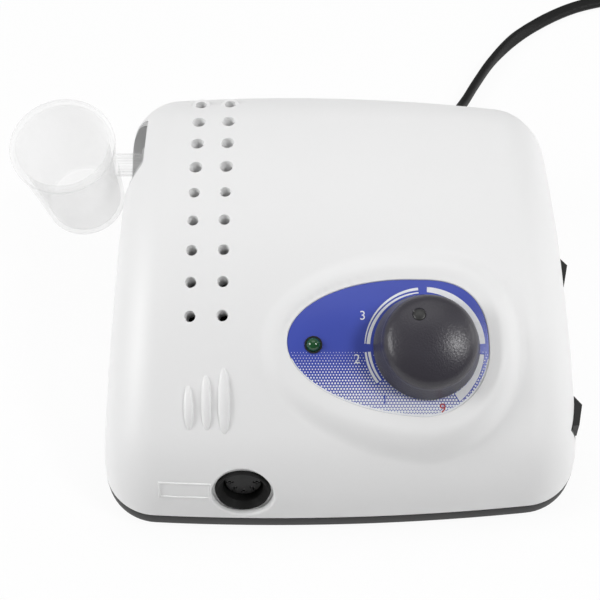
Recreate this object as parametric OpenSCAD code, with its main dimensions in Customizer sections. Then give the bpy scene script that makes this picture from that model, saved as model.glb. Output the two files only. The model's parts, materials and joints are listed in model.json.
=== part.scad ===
// Nail drill machine: the control box of a small bench micromotor, with its bit cup and mains lead.
// Millimetres, +Z up. The dial faces the front, towards -Y, and +X is to the right of its user.
// The origin is on the table, under the middle of the box, the cup and the switches together.

/* [Housing] */
// Width of the housing at the seam
body_w = 160; // [150:1:185]
// Depth of the housing at the seam
body_d = 151; // [145:1:170]
// Height of the seam between the housing and the base tray
seam_z = 9; // [8:0.5:12]
// Wall thickness of the housing
wall = 2.5; // [2:0.1:3.2]
// Radius of the soft edges round the sides
edge_r = 18; // [15:0.5:20]
// Radius of the bow of the front and rear walls
bow_r = 800; // [700:10:1500]
// Place of the middle of that bow across the housing
bow_x = -20; // [-26:1:0]
// Radius of the front edge
front_r = 37; // [33:1:41]
// Lean of the front wall in degrees
front_lean = 8; // [5:0.5:11]
// Height of the straight part of the front wall
front_rise = 5.5; // [4:0.5:8]
// Slope of the crown where it meets the front edge, in degrees
crown_slope = 37; // [34:0.5:40]
// Radius of the rear edge
rear_r = 28; // [27:0.5:31]
// Draft of the rear wall in degrees
rear_draft = 3; // [1:0.5:5]
// Draft of the side walls in degrees
side_draft = 5; // [3:0.5:6.5]

/* [Base] */
// Height of the rubber feet under the base tray
foot_h = 3; // [2:0.5:5]
// Radius of a rubber foot
foot_r = 6; // [4:0.5:8]
// Thickness of the floor of the base tray
floor_t = 2; // [1.6:0.1:3]
// Radius of a case screw
case_screw_r = 1.5; // [1.25:0.05:2]
// Distance of the case screws and feet in from the front and rear edges
corner_inset = 20.5; // [19:0.5:24]

/* [Vents] */
// Number of vent rows
vent_rows = 9; // [5:1:9]
// Distance between vent rows
vent_pitch = 10.4; // [9:0.1:11]
// Distance between the two vent columns
vent_columns = 10.4; // [9:0.1:13]
// Radius of the holes in the rear rows
vent_rear_r = 2.3; // [1.8:0.1:2.8]
// Radius of the holes in the front rows
vent_front_r = 1.9; // [1.4:0.1:2.4]

/* [Dial panel] */
// Distance of the dial in from the right side
dial_in = 54; // [50:0.5:60]
// Distance of the dial behind the front edge
dial_back = 37.5; // [34:0.5:43]
// Tilt of the dial panel in degrees
panel_tilt = 24; // [20:0.5:28]
// Rise of the panel's pad over the crown at the dial
pad_rise = 2.4; // [1.5:0.1:3.5]
// Reach of the egg-shaped panel to the left of its widest place
panel_left = 42.4; // [40:0.2:46]
// Reach of the panel to the right, above and below that place
panel_round = 21.9; // [20.5:0.1:24]
// Thickness of the panel plate
panel_t = 1.2; // [0.8:0.1:1.6]
// Depth of the panel under the top of its pad
panel_sink = 0.4; // [0.2:0.1:0.8]
// Radius of the knob at its foot
knob_r = 16.8; // [15:0.1:18]
// Radius of the knob at its shoulder
knob_top_r = 14.9; // [13:0.1:15.6]
// Height of the knob
knob_h = 15.5; // [13:0.5:19]
// Radius of the potentiometer shaft
shaft_r = 3; // [2.5:0.1:3.2]
// Radius of the indicator lamp
led_r = 2.3; // [2:0.1:3]

/* [Motor socket] */
// Distance of the motor socket in from the left side
socket_in = 47.6; // [44:0.2:52]
// Height of the middle of the motor socket
socket_z = 20.3; // [20:0.1:22]
// Tilt of the motor socket's axis above level, in degrees
socket_tilt = 14.5; // [11:0.5:18]
// Radius of the flange of the motor socket
socket_r = 9.1; // [8.6:0.1:9.6]
// Radius of the bore that takes the plug's metal collar
socket_bore_r = 6.65; // [6.4:0.05:6.9]
// Radius of the circle of the five contacts
contact_circle_r = 4.45; // [4.2:0.05:4.6]

/* [Rocker switches] */
// Place of the power switch from the middle to the rear
power_y = 1; // [-4:0.5:8]
// Height of the power switch
power_z = 41.5; // [38:0.5:43]
// Distance of the direction switch behind the front edge
direction_back = 31.5; // [31:0.5:38]
// Height of the direction switch
direction_z = 23; // [21:0.5:25]
// Width of a rocker along its axis
rocker_w = 7.3; // [6.5:0.1:8]
// Distance of a rocker's ends from its ridge
rocker_reach = 7.2; // [6.6:0.1:7.6]
// Height of a rocker's ridge over its axis
rocker_h = 7.75; // [7.2:0.05:8.2]
// Fall of a rocker's faces from its ridge, in degrees
rocker_fall = 24; // [18:0.5:28]
// Tilt of a rocker to either side, in degrees
rocker_tilt = 8; // [5:0.5:10]

/* [Bit cup] */
// Height of the cup
cup_h = 44; // [38:0.5:50]
// Radius of the cup at its rim
cup_rim_r = 18.4; // [16:0.1:19.5]
// Radius of the cup at its foot
cup_base_r = 15; // [12:0.1:16]
// Wall thickness of the cup
cup_wall = 1.5; // [1.2:0.1:2.2]
// Height of the cup's peg under its rim
peg_drop = 15; // [12:0.5:20]
// Radius of the cup's peg in its socket
peg_r = 3.9; // [3.2:0.1:4.4]
// Distance of the peg in front of the rear edge
peg_in = 35; // [33:0.5:39]
// Depth of the peg under the top of the housing
peg_under = 17.5; // [16.5:0.5:21]
// Forward lean of the cup in degrees
cup_lean = 16; // [0:1:30]
// Room between the cup's rim and the side of the housing at the seam
cup_room = -2; // [-3:0.1:3]

/* [Mains lead] */
// Thickness of the flat lead
cord_t = 3.8; // [3.2:0.1:4.2]
// Width of the flat lead
cord_w = 5.8; // [5:0.1:6]
// Height of the lead's gland on the rear wall
gland_z = 16; // [16:0.5:18]
// Length of the gland's strain relief
relief_l = 20; // [20:0.5:22]
// Radius of a plug pin
plug_pin_r = 2; // [1.6:0.1:2.4]
// Length of a plug pin
plug_pin_l = 19; // [15:0.5:22]

/* [Inside] */
// Width of the transformer core
core_w = 57; // [48:0.5:60]
// Stack of the transformer core
core_stack = 24; // [18:0.5:28]
// Length of the circuit board
board_l = 66; // [56:1:70]
// Width of the circuit board
board_w = 44; // [38:1:46]
// Height of the posts under the circuit board
post_h = 7; // [5:0.5:10]

/* [Hidden] */
$fn = 64;
EPS = 0.01;
// Clearance round pieces that slide or turn
run_gap = 0.05;
// Clearance round pieces that are set into one another
seat_gap = 0.1;
// Clearance round a moving rocker
swing_gap = 0.35;

WHITE = [0.95, 0.95, 0.95];
DARK_GREY = [0.33, 0.33, 0.34];
BLACK = [0.08, 0.08, 0.08];
BLUE = [0.16, 0.24, 0.62];
KNOB_GREY = [0.31, 0.3, 0.33];
GREEN = [0.05, 0.25, 0.12];
CLEAR = [0.9, 0.92, 0.93, 0.5];
STEEL = [0.7, 0.7, 0.72];
COPPER = [0.72, 0.45, 0.2];
BOARD_GREEN = [0.1, 0.4, 0.2];

function dir(a) = [cos(a), sin(a)];

// Middle profile of the housing, as arcs from the front wall over the crown to the rear wall
half_w = body_w / 2;
half_d = body_d / 2;
crown_fall = 1;
front_angle = 180 - front_lean;
crown_angle = 90 + crown_slope;
top_angle = 90 - crown_fall;
front_top = [-half_d + front_rise * tan(front_lean), seam_z + front_rise];
front_centre = front_top - front_r * dir(front_angle);
// The crown's radius is the one that ends the profile at the rear seam
rear_way = [1, tan(rear_draft)];
crown_start = front_centre + front_r * dir(crown_angle) - rear_r * (dir(top_angle) - dir(rear_draft));
crown_r = (half_d - rear_way * (crown_start - [0, seam_z])) / (rear_way * (dir(top_angle) - dir(crown_angle)));
crown_centre = front_centre + (front_r - crown_r) * dir(crown_angle);
rear_centre = crown_centre + (crown_r - rear_r) * dir(top_angle);
top_z = crown_centre[1] + crown_r;
// Length of a cut that passes right through a wall, whatever its place
through = body_w;

function arc_run(centre, r, a0, a1, n, first) = [
    for (i = [first:n])
        let (a = a0 + (a1 - a0) * i / n)
        [centre + r * dir(a), a]
];
function profile(n) = concat(
    arc_run(front_centre, front_r, front_angle, crown_angle, n, 0),
    arc_run(crown_centre, crown_r, crown_angle, top_angle, n + 4, 1),
    arc_run(rear_centre, rear_r, top_angle, rear_draft, n, 1)
);

function bow(x) = pow(x - bow_x, 2) / (2 * bow_r);
function front_y(inset, z) = -half_d + inset / cos(front_lean) + (z - seam_z) * tan(front_lean);
function rear_y(inset, z) = half_d - inset / cos(rear_draft) - (z - seam_z) * tan(rear_draft);

// Sections across the housing: each has its place and the depth that it lies under the middle profile
function edge_sections(side, skin_in, n) = [
    for (k = [0:n])
        let (phi = side < 0 ? -90 + 90 * k / n : 90 * k / n)
        let (x = side * (half_w - edge_r) + (edge_r - skin_in) * sin(phi))
        [x, bow(x) + skin_in + (edge_r - skin_in) * (1 - cos(phi))]
];
function sections(skin_in, n) = concat(
    edge_sections(-1, skin_in, n),
    [for (k = [1:n - 1]) let (x = (half_w - edge_r) * (2 * k / n - 1)) [x, bow(x) + skin_in]],
    edge_sections(1, skin_in, n)
);
function section_points(inset, low_z, n) = concat(
    [[front_y(inset, low_z), low_z]],
    [for (s = profile(n)) s[0] - inset * dir(s[1])],
    [[rear_y(inset, low_z), low_z]]
);
function drafted(x, z) = x * (1 - (z - seam_z) * tan(side_draft) / half_w);
function side_x(z) = half_w - (z - seam_z) * tan(side_draft);

// Height and slope of the crown over a place, and the front edge at a height
function crown_z(x, y) = crown_centre[1] + sqrt(pow(crown_r - bow(x), 2) - pow(y - crown_centre[0], 2));
function crown_tilt(x, y) = asin((crown_centre[0] - y) / (crown_r - bow(x)));
function front_tilt(x, z) = asin((z - front_centre[1]) / (front_r - bow(x)));
function front_edge_y(x, z) = front_centre[0] - (front_r - bow(x)) * cos(front_tilt(x, z));

// Solid inside the skin that lies skin_in under the outer surface
module housing_solid(skin_in, low_z, n) {
    rows = sections(skin_in, n);
    grid = [for (s = rows) [for (p = section_points(s[1], low_z, n)) [drafted(s[0], p[1]), p[0], p[1]]]];
    count = len(rows);
    width = len(grid[0]);
    points = [for (row = grid) for (p = row) p];
    sides = [
        for (i = [0:count - 2])
            for (j = [0:width - 2])
                for (t = [[0, 1, width + 1], [0, width + 1, width]])
                    [for (k = t) i * width + j + k]
    ];
    left = [for (j = [width - 1:-1:0]) j];
    right = [for (j = [0:width - 1]) (count - 1) * width + j];
    under = concat(
        [for (i = [0:count - 1]) i * width],
        [for (i = [count - 1:-1:0]) i * width + width - 1]
    );
    polyhedron(points, concat(sides, [left, right, under]), convexity = 6);
}

// Outline of the housing at the seam
module seam_outline(skin_in) {
    rows = sections(skin_in, 10);
    polygon(concat(
        [for (s = rows) [s[0], front_y(s[1], seam_z)]],
        [for (i = [len(rows) - 1:-1:0]) [rows[i][0], rear_y(rows[i][1], seam_z)]]
    ));
}

// Places of the base, from the table up
floor_z = foot_h + floor_t;
screw_inset = 18;
foot_inset = 32;
boss_wall = 2.2;
boss_rise = 4;
screw_x = half_w - screw_inset;
screw_y = half_d - corner_inset;
foot_x = half_w - foot_inset;
boss_r = case_screw_r + boss_wall;
boss_z = seam_z + boss_rise;
head_sink = 4;
head_room = 0.3;
screw_room = 0.25;
screw_l = 16;
post_wall = 1.6;
head_r = case_screw_r * 1.8;
head_h = case_screw_r * 1.2;
foot_sink = 1;
module at_corners(x, y) {
    for (sx = [-1, 1], sy = [-1, 1])
        translate([sx * x, sy * y, 0]) children();
}

// Dial panel, in its own plane with the dial's axis along Z
dial_x = half_w - dial_in;
dial_y = dial_back - half_d;
dial_z = crown_z(dial_x, dial_y) + pad_rise;
panel_mid = -1.5;
panel_lean = 0.045;
pad_flat = 3.5;
pot_seat = 6.5;
pot_r = 8.5;
pot_h = 9;
bush_r = shaft_r + 0.6;
bush_l = pot_seat + 1.4;
nut_h = 1.8;
led_at = [-35.6, 0.9];
led_flange = 0.5;
led_hole_r = led_r + 0.55;
module on_panel() {
    translate([dial_x, dial_y, dial_z]) rotate([panel_tilt, 0, 0]) children();
}
function egg_point(t, grow) =
    let (x = (cos(t) > 0 ? panel_round : panel_left) * cos(t) + grow * cos(t))
    [panel_mid + x, (panel_round + grow) * sin(t) + panel_lean * max(0, -x)];
module egg(grow) {
    polygon([for (t = [0:6:354]) egg_point(t, grow)]);
}

// Motor socket, with its axis along Z and its flange on the floor of its pocket
socket_sink = 2.4;
socket_x = socket_in - half_w;
socket_y = front_edge_y(socket_x, socket_z) + socket_sink;
pocket_r = socket_r + 0.9;
pocket_floor = -0.6;
socket_wall = 2.5;
socket_seat_r = pocket_r + wall;
barrel_r = socket_bore_r + 1.4;
barrel_l = 18;
insert_r = socket_bore_r - 0.75;
socket_depth = 9;
// The shell's mouth is a funnel, and the insert lies further in
shell_t = 1.2;
shell_taper = 0.5;
funnel_r = socket_r - 0.8;
funnel_depth = 2.1;
insert_depth = 4.2;
funnel_z = pocket_floor + shell_t - funnel_depth;
insert_z = pocket_floor + shell_t - insert_depth;
contact_r = 0.9;
contact_hole_r = 0.55;
contact_sink = 0.3;
contact_tail = 4;
insert_l = barrel_l + insert_z - pocket_floor;
key_w = 1.6;
module on_socket() {
    translate([socket_x, socket_y, socket_z]) rotate([90 - socket_tilt, 0, 0]) children();
}

// Switches on the right wall: X is outwards, Y to the rear and Z up the wall
direction_y = direction_back - half_d;
rocker_axis = -5.5;
rocker_end_h = rocker_h - rocker_reach * tan(rocker_fall);
rocker_end_l = 2;
rocker_foot = [1.4, 2.4];
opening_l = 2 * (rocker_reach * cos(rocker_tilt) + rocker_end_h * sin(rocker_tilt) + swing_gap);
opening_w = rocker_w + 2 * swing_gap;
frame_side = 1;
frame_l = opening_l + 2 * frame_side;
frame_w = opening_w + 2 * frame_side;
// The frame is pushed in from inside until its flange meets the seat, and its face follows the wall
switch_seat_t = 8;
flange_lip = 0.8;
flange_t = 1.2;
frame_sink = 0.2;
frame_depth = 13;
cavity_depth = norm(rocker_foot) + swing_gap - rocker_axis;
rocker_pin_r = 0.9;
rocker_pin_l = swing_gap + 0.6;
module on_right_wall(y, z) {
    translate([side_x(z), y, z]) rotate([0, -side_draft, 0]) children();
}

// Bit cup and its socket, about the peg's axis along X
cup_x = -half_w - cup_room - cup_rim_r;
peg_y = half_d - peg_in;
peg_z = top_z - peg_under;
cup_pocket_r = 15.5;
liner_t = 1.6;
pocket_in = 12;
pocket_x = pocket_in - half_w;
liner_floor = 3;
liner_room = 1;
liner_sink = 0.5;
bush_out = 2;
bush_in = 10;
bush_wall = 2.2;
bush_floor = 1;
peg_end_room = 1;
peg_in_l = bush_out + liner_floor + bush_in - bush_floor - peg_end_room;
peg_core_r = peg_r - 0.3;
module on_peg(x) {
    translate([x, peg_y, peg_z]) children();
}

// Rear wall, with Z outwards
gland_in = 30.5;
gland_x = half_w - gland_in;
gland_r = 4.6;
gland_flange_r = 6.4;
gland_flange_t = 2;
fuse_x = 14;
fuse_z = 26;
fuse_r = 6;
jack_x = -16;
jack_z = 24;
jack_r = 4;
jack_l = 16;
jack_bore_r = 1.8;
// The rear wall's inner face is slightly bowed, so the flat nuts stand a little off it
nut_room = 0.2;
fuse_nut_h = 3;
jack_nut_h = 2;
relief_root = 1;
function rear_turn(x) = atan((x - bow_x) / bow_r);
function rear_at(x, z) = [drafted(x, z), rear_y(bow(x), z), z];
function rear_axis(x) = [sin(rear_turn(x)) * cos(rear_draft), cos(rear_turn(x)) * cos(rear_draft), sin(rear_draft)];
module on_rear_wall(x, z) {
    translate(rear_at(x, z)) rotate([0, 0, -rear_turn(x)]) rotate([-90 + rear_draft, 0, 0]) children();
}

// The cup reaches furthest to the left, the ridge of the direction rocker furthest to the right,
// the front seam furthest forward and the fuse cap furthest to the rear
fuse_cap_h = 5;
fuse_flange_t = 2;
rocker_rise = rocker_axis + rocker_h * cos(rocker_tilt);
left_reach = -cup_x + cup_rim_r;
rocker_edge = rocker_rise * cos(side_draft) + rocker_w / 2 * sin(side_draft);
right_reach = max(half_w, side_x(direction_z) + rocker_edge);
fuse_out = fuse_flange_t + fuse_cap_h;
rear_reach = rear_at(fuse_x, fuse_z)[1] + fuse_out * rear_axis(fuse_x)[1] + (fuse_r - 1) * sin(rear_draft);
place = [(left_reach - right_reach) / 2, (half_d - rear_reach) / 2, 0];
module placed() {
    translate(place) children();
}

// Transformer, at the rear left
core_in = 62;
core_front = 52.5;
core_at = [core_in - half_w, half_d - core_front];
core_h = core_w * 5 / 6;
limb = core_w / 6;
strap_t = 1.2;
pad_h = 1;
strap_z = floor_z + pad_h;
core_z = strap_z + strap_t;
strap_ear = 10;
ear_x = core_w / 2 + strap_ear / 2;
ear_screw_r = 1.6;
ear_head_h = 2;
ear_skin = 0.6;

// Circuit board, at the right
board_in = 30;
board_front = 63.5;
board_at = [half_w - board_in, half_d - board_front];
board_t = 1.6;
post_r = 3;
board_screw_r = 1.3;
board_z = floor_z + post_h;
board_top = board_z + board_t;
board_screw_x = board_w / 2 - 4;
board_screw_y = board_l / 2 - 4;
module at_board(x, y) {
    translate([board_at[0] + x, board_at[1] + y, 0]) children();
}
module at_board_screws() {
    for (sx = [-1, 1], sy = [-1, 1])
        at_board(sx * board_screw_x, sy * board_screw_y) children();
}

// Mains lead: its way from the strain relief over the table, up to the coil
relief_droop = 6;
relief_start = rear_at(gland_x, gland_z) + gland_flange_t * rear_axis(gland_x);
relief_axis = [
    sin(rear_turn(gland_x)) * cos(relief_droop),
    cos(rear_turn(gland_x)) * cos(relief_droop),
    -sin(relief_droop)
];
relief_end = relief_start + relief_l * relief_axis + place;
cord_z = cord_w / 2;
tie_t = 0.8;
coil_z = cord_z + tie_t + 0.3;
layer_h = cord_w + 0.6;
coil_turns = 3;
coil_out = 40.7;
coil_pitch = cord_w;
coil_at = [206, 253];
coil_entry = [coil_at[0], coil_at[1] - coil_out, coil_z];
cord_way = [
    [69.6, 104.5, 11.9],
    [71.4, 112, 9.1],
    [74, 119.5, 5.8],
    [77, 126, 3.6],
    [80.2, 132, 2.9],
    [83.3, 138, 2.9],
    [87.1, 145, 2.9],
    [92.8, 155, 2.9],
    [99.7, 165, 2.9],
    [108.4, 175.5, 2.9],
    [118.5, 185, 2.9],
    [129.6, 193.5, 2.9],
    [141.8, 200.5, 2.9],
    [154, 205, 2.9],
    [166.5, 208.3, 3],
    [179.5, 210.7, 3.4],
    [190.5, 212, 3.8],
    [200, 212.3, 4]
];
cord_points = concat(
    [relief_end, relief_end + cord_w * relief_axis],
    cord_way,
    [coil_entry - [cord_w, 0, 0]]
);

function unit(v) = v / norm(v);
function way_at(points, i) = unit(points[min(i + 1, len(points) - 1)] - points[max(i - 1, 0)]);
function ring(p, way, sides) =
    let (across = unit(cross(way, [0, 0, 1])))
    let (up = cross(across, way))
    [for (k = [0:sides - 1]) p + cord_t / 2 * cos(k * 360 / sides) * across + cord_w / 2 * sin(k * 360 / sides) * up];

// Lead along a list of points, with an upright oval section
module lead(points, first_way, last_way, sides) {
    last = len(points) - 1;
    rings = [
        for (i = [0:last])
            ring(points[i], i == 0 ? first_way : i == last ? last_way : way_at(points, i), sides)
    ];
    skin = [
        for (i = [0:last - 1], k = [0:sides - 1])
            let (a = i * sides + k, d = i * sides + (k + 1) % sides)
            for (t = [[a, d, d + sides], [a, d + sides, a + sides]]) t
    ];
    start = [for (k = [sides - 1:-1:0]) k];
    end = [for (k = [0:sides - 1]) last * sides + k];
    polyhedron([for (r = rings) for (p = r) p], concat(skin, [start, end]), convexity = 10);
}

// Coil: it spirals in on the lower layer, climbs in half a turn and spirals out on the upper layer
coil_steps = 24;
coil_end_turn = 2 * coil_turns + 0.5;
function ease(t) = (1 - cos(180 * min(max(t, 0), 1))) / 2;
function coil_point(turn) =
    let (in_way = min(turn, coil_turns), out_way = max(turn - coil_turns - 0.5, 0))
    let (r = coil_out - coil_pitch * (in_way - out_way))
    let (a = 360 * turn - 90)
    [coil_at[0] + r * cos(a), coil_at[1] + r * sin(a), coil_z + layer_h * ease((turn - coil_turns) * 2)];
coil_exit = coil_point(coil_end_turn);
coil_points = concat(
    [coil_entry - [cord_w, 0, 0]],
    [for (i = [0:coil_steps * coil_end_turn]) coil_point(i / coil_steps)],
    [coil_exit - [cord_w, 0, 0]]
);
// Least gap between one turn and another, measured on the points of the rings
function coil_gap() =
    let (n = len(coil_points) - 1)
    let (rings = [for (i = [0:n]) ring(coil_points[i], way_at(coil_points, i), 6)])
    min([
        for (i = [0:n], j = [i + coil_steps / 2:n])
            if (norm(coil_points[i] - coil_points[j]) < 3 * cord_w)
                for (p = rings[i], q = rings[j]) norm(p - q)
    ]);

plug_at = coil_exit - [cord_w, 0, 0];
plug_relief_l = 32;
plug_l = 30;
plug_w = 33;
pin_space = 18.6;
module on_plug() {
    translate(plug_at) rotate([0, -90, 0]) children();
}

module rounded_rect(w, h, r) {
    square([w - 2 * r, h], center = true);
    square([w, h - 2 * r], center = true);
    for (sx = [-1, 1], sy = [-1, 1])
        translate([sx * (w / 2 - r), sy * (h / 2 - r)]) circle(r);
}
module ring_tube(outer_r, inner_r, h) {
    difference() {
        cylinder(r = outer_r, h = h);
        translate([0, 0, -EPS]) cylinder(r = inner_r, h = h + 2 * EPS);
    }
}
module hex_nut(flat_r, hole_r, h) {
    difference() {
        cylinder(r = flat_r / cos(30), h = h, $fn = 6);
        translate([0, 0, -EPS]) cylinder(r = hole_r, h = h + 2 * EPS);
    }
}

// Pad under the dial panel: egg-shaped, with soft sides that run down into the crown
pad_rings = [[pad_flat, 0], [5.2, -0.25], [6.8, -1], [8, -2.2], [8.8, -4], [9.4, -7], [9.8, -13]];
module panel_pad() {
    sides = 60;
    points = [
        for (g = pad_rings, k = [0:sides - 1])
            let (p = egg_point(k * 360 / sides, g[0])) [p[0], p[1], g[1]]
    ];
    count = len(pad_rings);
    skin = [
        for (i = [0:count - 2], k = [0:sides - 1])
            let (a = i * sides + k, d = i * sides + (k + 1) % sides)
            for (t = [[a, d, d + sides], [a, d + sides, a + sides]]) t
    ];
    top = [for (k = [sides - 1:-1:0]) k];
    under = [for (k = [0:sides - 1]) (count - 1) * sides + k];
    on_panel() polyhedron(points, concat(skin, [top, under]), convexity = 6);
}

// Raised lens-shaped fin on the front slope
// Fins, each with its distance from the left side, its distance from the front edge, its length and its width
fins = [[31, 22, 13.8, 2.9], [36.6, 23.2, 17.2, 3.2], [42.2, 23.6, 20.6, 3.8]];
crown_fin_rise = 1.1;
fin_root = 1.5;
module fin(x, y, l, w) {
    lens_r = (l * l + w * w) / (4 * w);
    top_sag = crown_fin_rise + l * l / (8 * crown_r);
    top_r = (l * l / 4 + top_sag * top_sag) / (2 * top_sag);
    translate([x, y, crown_z(x, y)]) rotate([crown_tilt(x, y), 0, 0]) intersection() {
        translate([0, 0, -fin_root]) linear_extrude(crown_fin_rise + fin_root) intersection() {
            translate([lens_r - w / 2, 0]) circle(lens_r, $fn = 180);
            translate([w / 2 - lens_r, 0]) circle(lens_r, $fn = 180);
        }
        translate([-w, 0, crown_fin_rise - top_r]) rotate([0, 90, 0]) cylinder(r = top_r, h = 2 * w, $fn = 180);
    }
}

// Thin raised frame for a label beside the motor socket
label_in = 28.2;
label_at = [label_in - half_w, 22.6];
label_size = [17.2, 6.4];
label_line = 0.7;
label_rise = 0.35;
module label_frame() {
    tilt = front_tilt(label_at[0], label_at[1]);
    translate([label_at[0], front_edge_y(label_at[0], label_at[1]), label_at[1]])
        rotate([0, 0, (label_at[0] - bow_x) / bow_r * 180 / PI])
            rotate([90 - tilt, 0, 0])
                translate([0, 0, -1]) linear_extrude(1 + label_rise) difference() {
                    square(label_size, center = true);
                    square(label_size - 2 * [label_line, label_line], center = true);
                }
}

vent_in = 31;
vent_front = 20.5;
vent_x = vent_in - half_w;
vent_y = half_d - vent_front;
rear_rows = 4;
module vents() {
    for (row = [0:vent_rows - 1], column = [0, 1])
        translate([vent_x + column * vent_columns, vent_y - row * vent_pitch, top_z / 2])
            cylinder(r = row < rear_rows ? vent_rear_r : vent_front_r, h = through);
}

seat_side = 1.8;
module switch_seat(y, z) {
    on_right_wall(y, z) translate([-switch_seat_t, -frame_l / 2 - seat_side, -frame_w / 2 - seat_side])
        cube([switch_seat_t, frame_l + 2 * seat_side, frame_w + 2 * seat_side]);
}
module switch_cut(y, z) {
    on_right_wall(y, z) translate([-frame_depth, -frame_l / 2 - seat_gap, -frame_w / 2 - seat_gap])
        cube([2 * frame_depth, frame_l + 2 * seat_gap, frame_w + 2 * seat_gap]);
}

module upper_housing() {
    color(WHITE) placed() difference() {
        union() {
            difference() {
                union() {
                    housing_solid(0, seam_z, 10);
                    panel_pad();
                    for (f = fins) fin(f[0] - half_w, f[1] - half_d, f[2], f[3]);
                    label_frame();
                }
                housing_solid(wall, seam_z - 1, 6);
            }
            // Solid places inside the shell: screw bosses, potentiometer seat, socket seat, switch seats
            intersection() {
                housing_solid(wall / 2, seam_z, 6);
                union() {
                    at_corners(screw_x, screw_y) translate([0, 0, boss_z]) cylinder(r = boss_r, h = through);
                    on_panel() translate([0, 0, -pot_seat]) cylinder(r = pot_r + 2, h = pot_seat);
                    on_socket() translate([0, 0, pocket_floor - socket_wall])
                        cylinder(r = socket_seat_r, h = through);
                    switch_seat(power_y, power_z);
                    switch_seat(direction_y, direction_z);
                }
            }
        }
        vents();
        on_panel() translate([0, 0, -panel_sink - panel_t]) linear_extrude(through) egg(seat_gap);
        on_panel() translate([0, 0, -2 * pot_seat]) cylinder(r = bush_r + seat_gap, h = through);
        on_panel() translate([led_at[0], led_at[1], -2 * pot_seat]) cylinder(r = led_hole_r, h = through);
        on_socket() translate([0, 0, pocket_floor]) cylinder(r = pocket_r, h = through);
        on_socket() translate([0, 0, -barrel_l]) cylinder(r = barrel_r + seat_gap, h = through);
        switch_cut(power_y, power_z);
        switch_cut(direction_y, direction_z);
        on_peg(pocket_x + liner_floor + liner_room) rotate([0, -90, 0]) cylinder(r = cup_pocket_r, h = through);
        on_rear_wall(gland_x, gland_z) translate([0, 0, -3 * wall]) cylinder(r = gland_r + seat_gap, h = 6 * wall);
        on_rear_wall(fuse_x, fuse_z) translate([0, 0, -3 * wall]) cylinder(r = fuse_r + seat_gap, h = 6 * wall);
        on_rear_wall(jack_x, jack_z) translate([0, 0, -3 * wall]) cylinder(r = jack_r + seat_gap, h = 6 * wall);
        at_corners(screw_x, screw_y) translate([0, 0, boss_z - 1])
            cylinder(r = case_screw_r + run_gap, h = screw_l);
    }
}

tongue_gap = 0.8;
tongue_t = 1.2;
tongue_h = 2;
module base_tray() {
    color(DARK_GREY) placed() difference() {
        union() {
            difference() {
                translate([0, 0, foot_h]) linear_extrude(seam_z - foot_h) seam_outline(0);
                translate([0, 0, floor_z]) linear_extrude(seam_z) seam_outline(wall + tongue_gap);
            }
            difference() {
                translate([0, 0, floor_z]) linear_extrude(seam_z + tongue_h - floor_z) difference() {
                    seam_outline(wall + tongue_gap);
                    seam_outline(wall + tongue_gap + tongue_t);
                }
                // Notch for the seat of the motor socket
                on_socket() translate([0, 0, pocket_floor - socket_wall - tongue_gap])
                    cylinder(r = socket_seat_r + tongue_gap, h = through);
            }
            at_corners(screw_x, screw_y) translate([0, 0, foot_h])
                cylinder(r = head_r + post_wall, h = boss_z - foot_h);
            at_board_screws() translate([0, 0, floor_z - EPS]) cylinder(r = post_r, h = post_h + EPS);
            for (s = [-1, 1])
                translate([core_at[0] + s * ear_x, core_at[1], floor_z - EPS])
                    cylinder(r = strap_ear / 2, h = pad_h + EPS);
        }
        at_corners(screw_x, screw_y) {
            translate([0, 0, -EPS]) cylinder(r = head_r + head_room, h = foot_h + head_sink);
            cylinder(r = case_screw_r + screw_room, h = through);
        }
        at_corners(foot_x, screw_y) translate([0, 0, foot_h - EPS]) cylinder(r = foot_r, h = foot_sink + EPS);
        at_board_screws() translate([0, 0, floor_z]) cylinder(r = board_screw_r + run_gap, h = 2 * post_h);
        for (s = [-1, 1])
            translate([core_at[0] + s * ear_x, core_at[1], foot_h + ear_skin])
                cylinder(r = ear_screw_r + run_gap, h = 4 * floor_t);
    }
}

module rubber_feet() {
    color(BLACK) placed() at_corners(foot_x, screw_y)
        rotate_extrude() polygon([
            [0, 0], [foot_r - foot_h * 0.4, 0], [foot_r - foot_h * 0.13, foot_h / 6],
            [foot_r - run_gap, foot_h * 0.47], [foot_r - run_gap, foot_h + foot_sink], [0, foot_h + foot_sink]
        ]);
}

module case_screws() {
    color(STEEL) placed() at_corners(screw_x, screw_y) translate([0, 0, foot_h + head_sink - head_h]) {
        difference() {
            cylinder(r = head_r, h = head_h);
            for (turn = [0, 90])
                rotate([0, 0, turn]) translate([-head_r * 0.6, -0.3, -EPS]) cube([head_r * 1.2, 0.6, head_h / 2]);
        }
        cylinder(r = case_screw_r, h = screw_l);
    }
}

module dial_panel() {
    color(BLUE) placed() on_panel() translate([0, 0, -panel_sink - panel_t]) difference() {
        linear_extrude(panel_t) egg(0);
        translate([0, 0, -panel_t]) cylinder(r = bush_r + seat_gap, h = 3 * panel_t);
        translate([led_at[0], led_at[1], -panel_t]) cylinder(r = led_hole_r, h = 3 * panel_t);
    }
}

module led_collar() {
    color(BLACK) placed() on_panel() translate([led_at[0], led_at[1], -panel_sink - panel_t - 2])
        ring_tube(led_hole_r - run_gap, led_r + run_gap, panel_t + 2 + led_flange);
}

module indicator_led() {
    color(GREEN) placed() on_panel() translate([led_at[0], led_at[1], 0]) {
        translate([0, 0, -5]) cylinder(r = led_r, h = 4.6);
        translate([0, 0, -0.4]) intersection() {
            sphere(led_r);
            cylinder(r = led_r + 1, h = led_r + 1);
        }
        for (s = [-1, 1])
            translate([s * 1.27, 0, -14]) cylinder(r = 0.3, h = 9.5, $fn = 16);
    }
}

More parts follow.
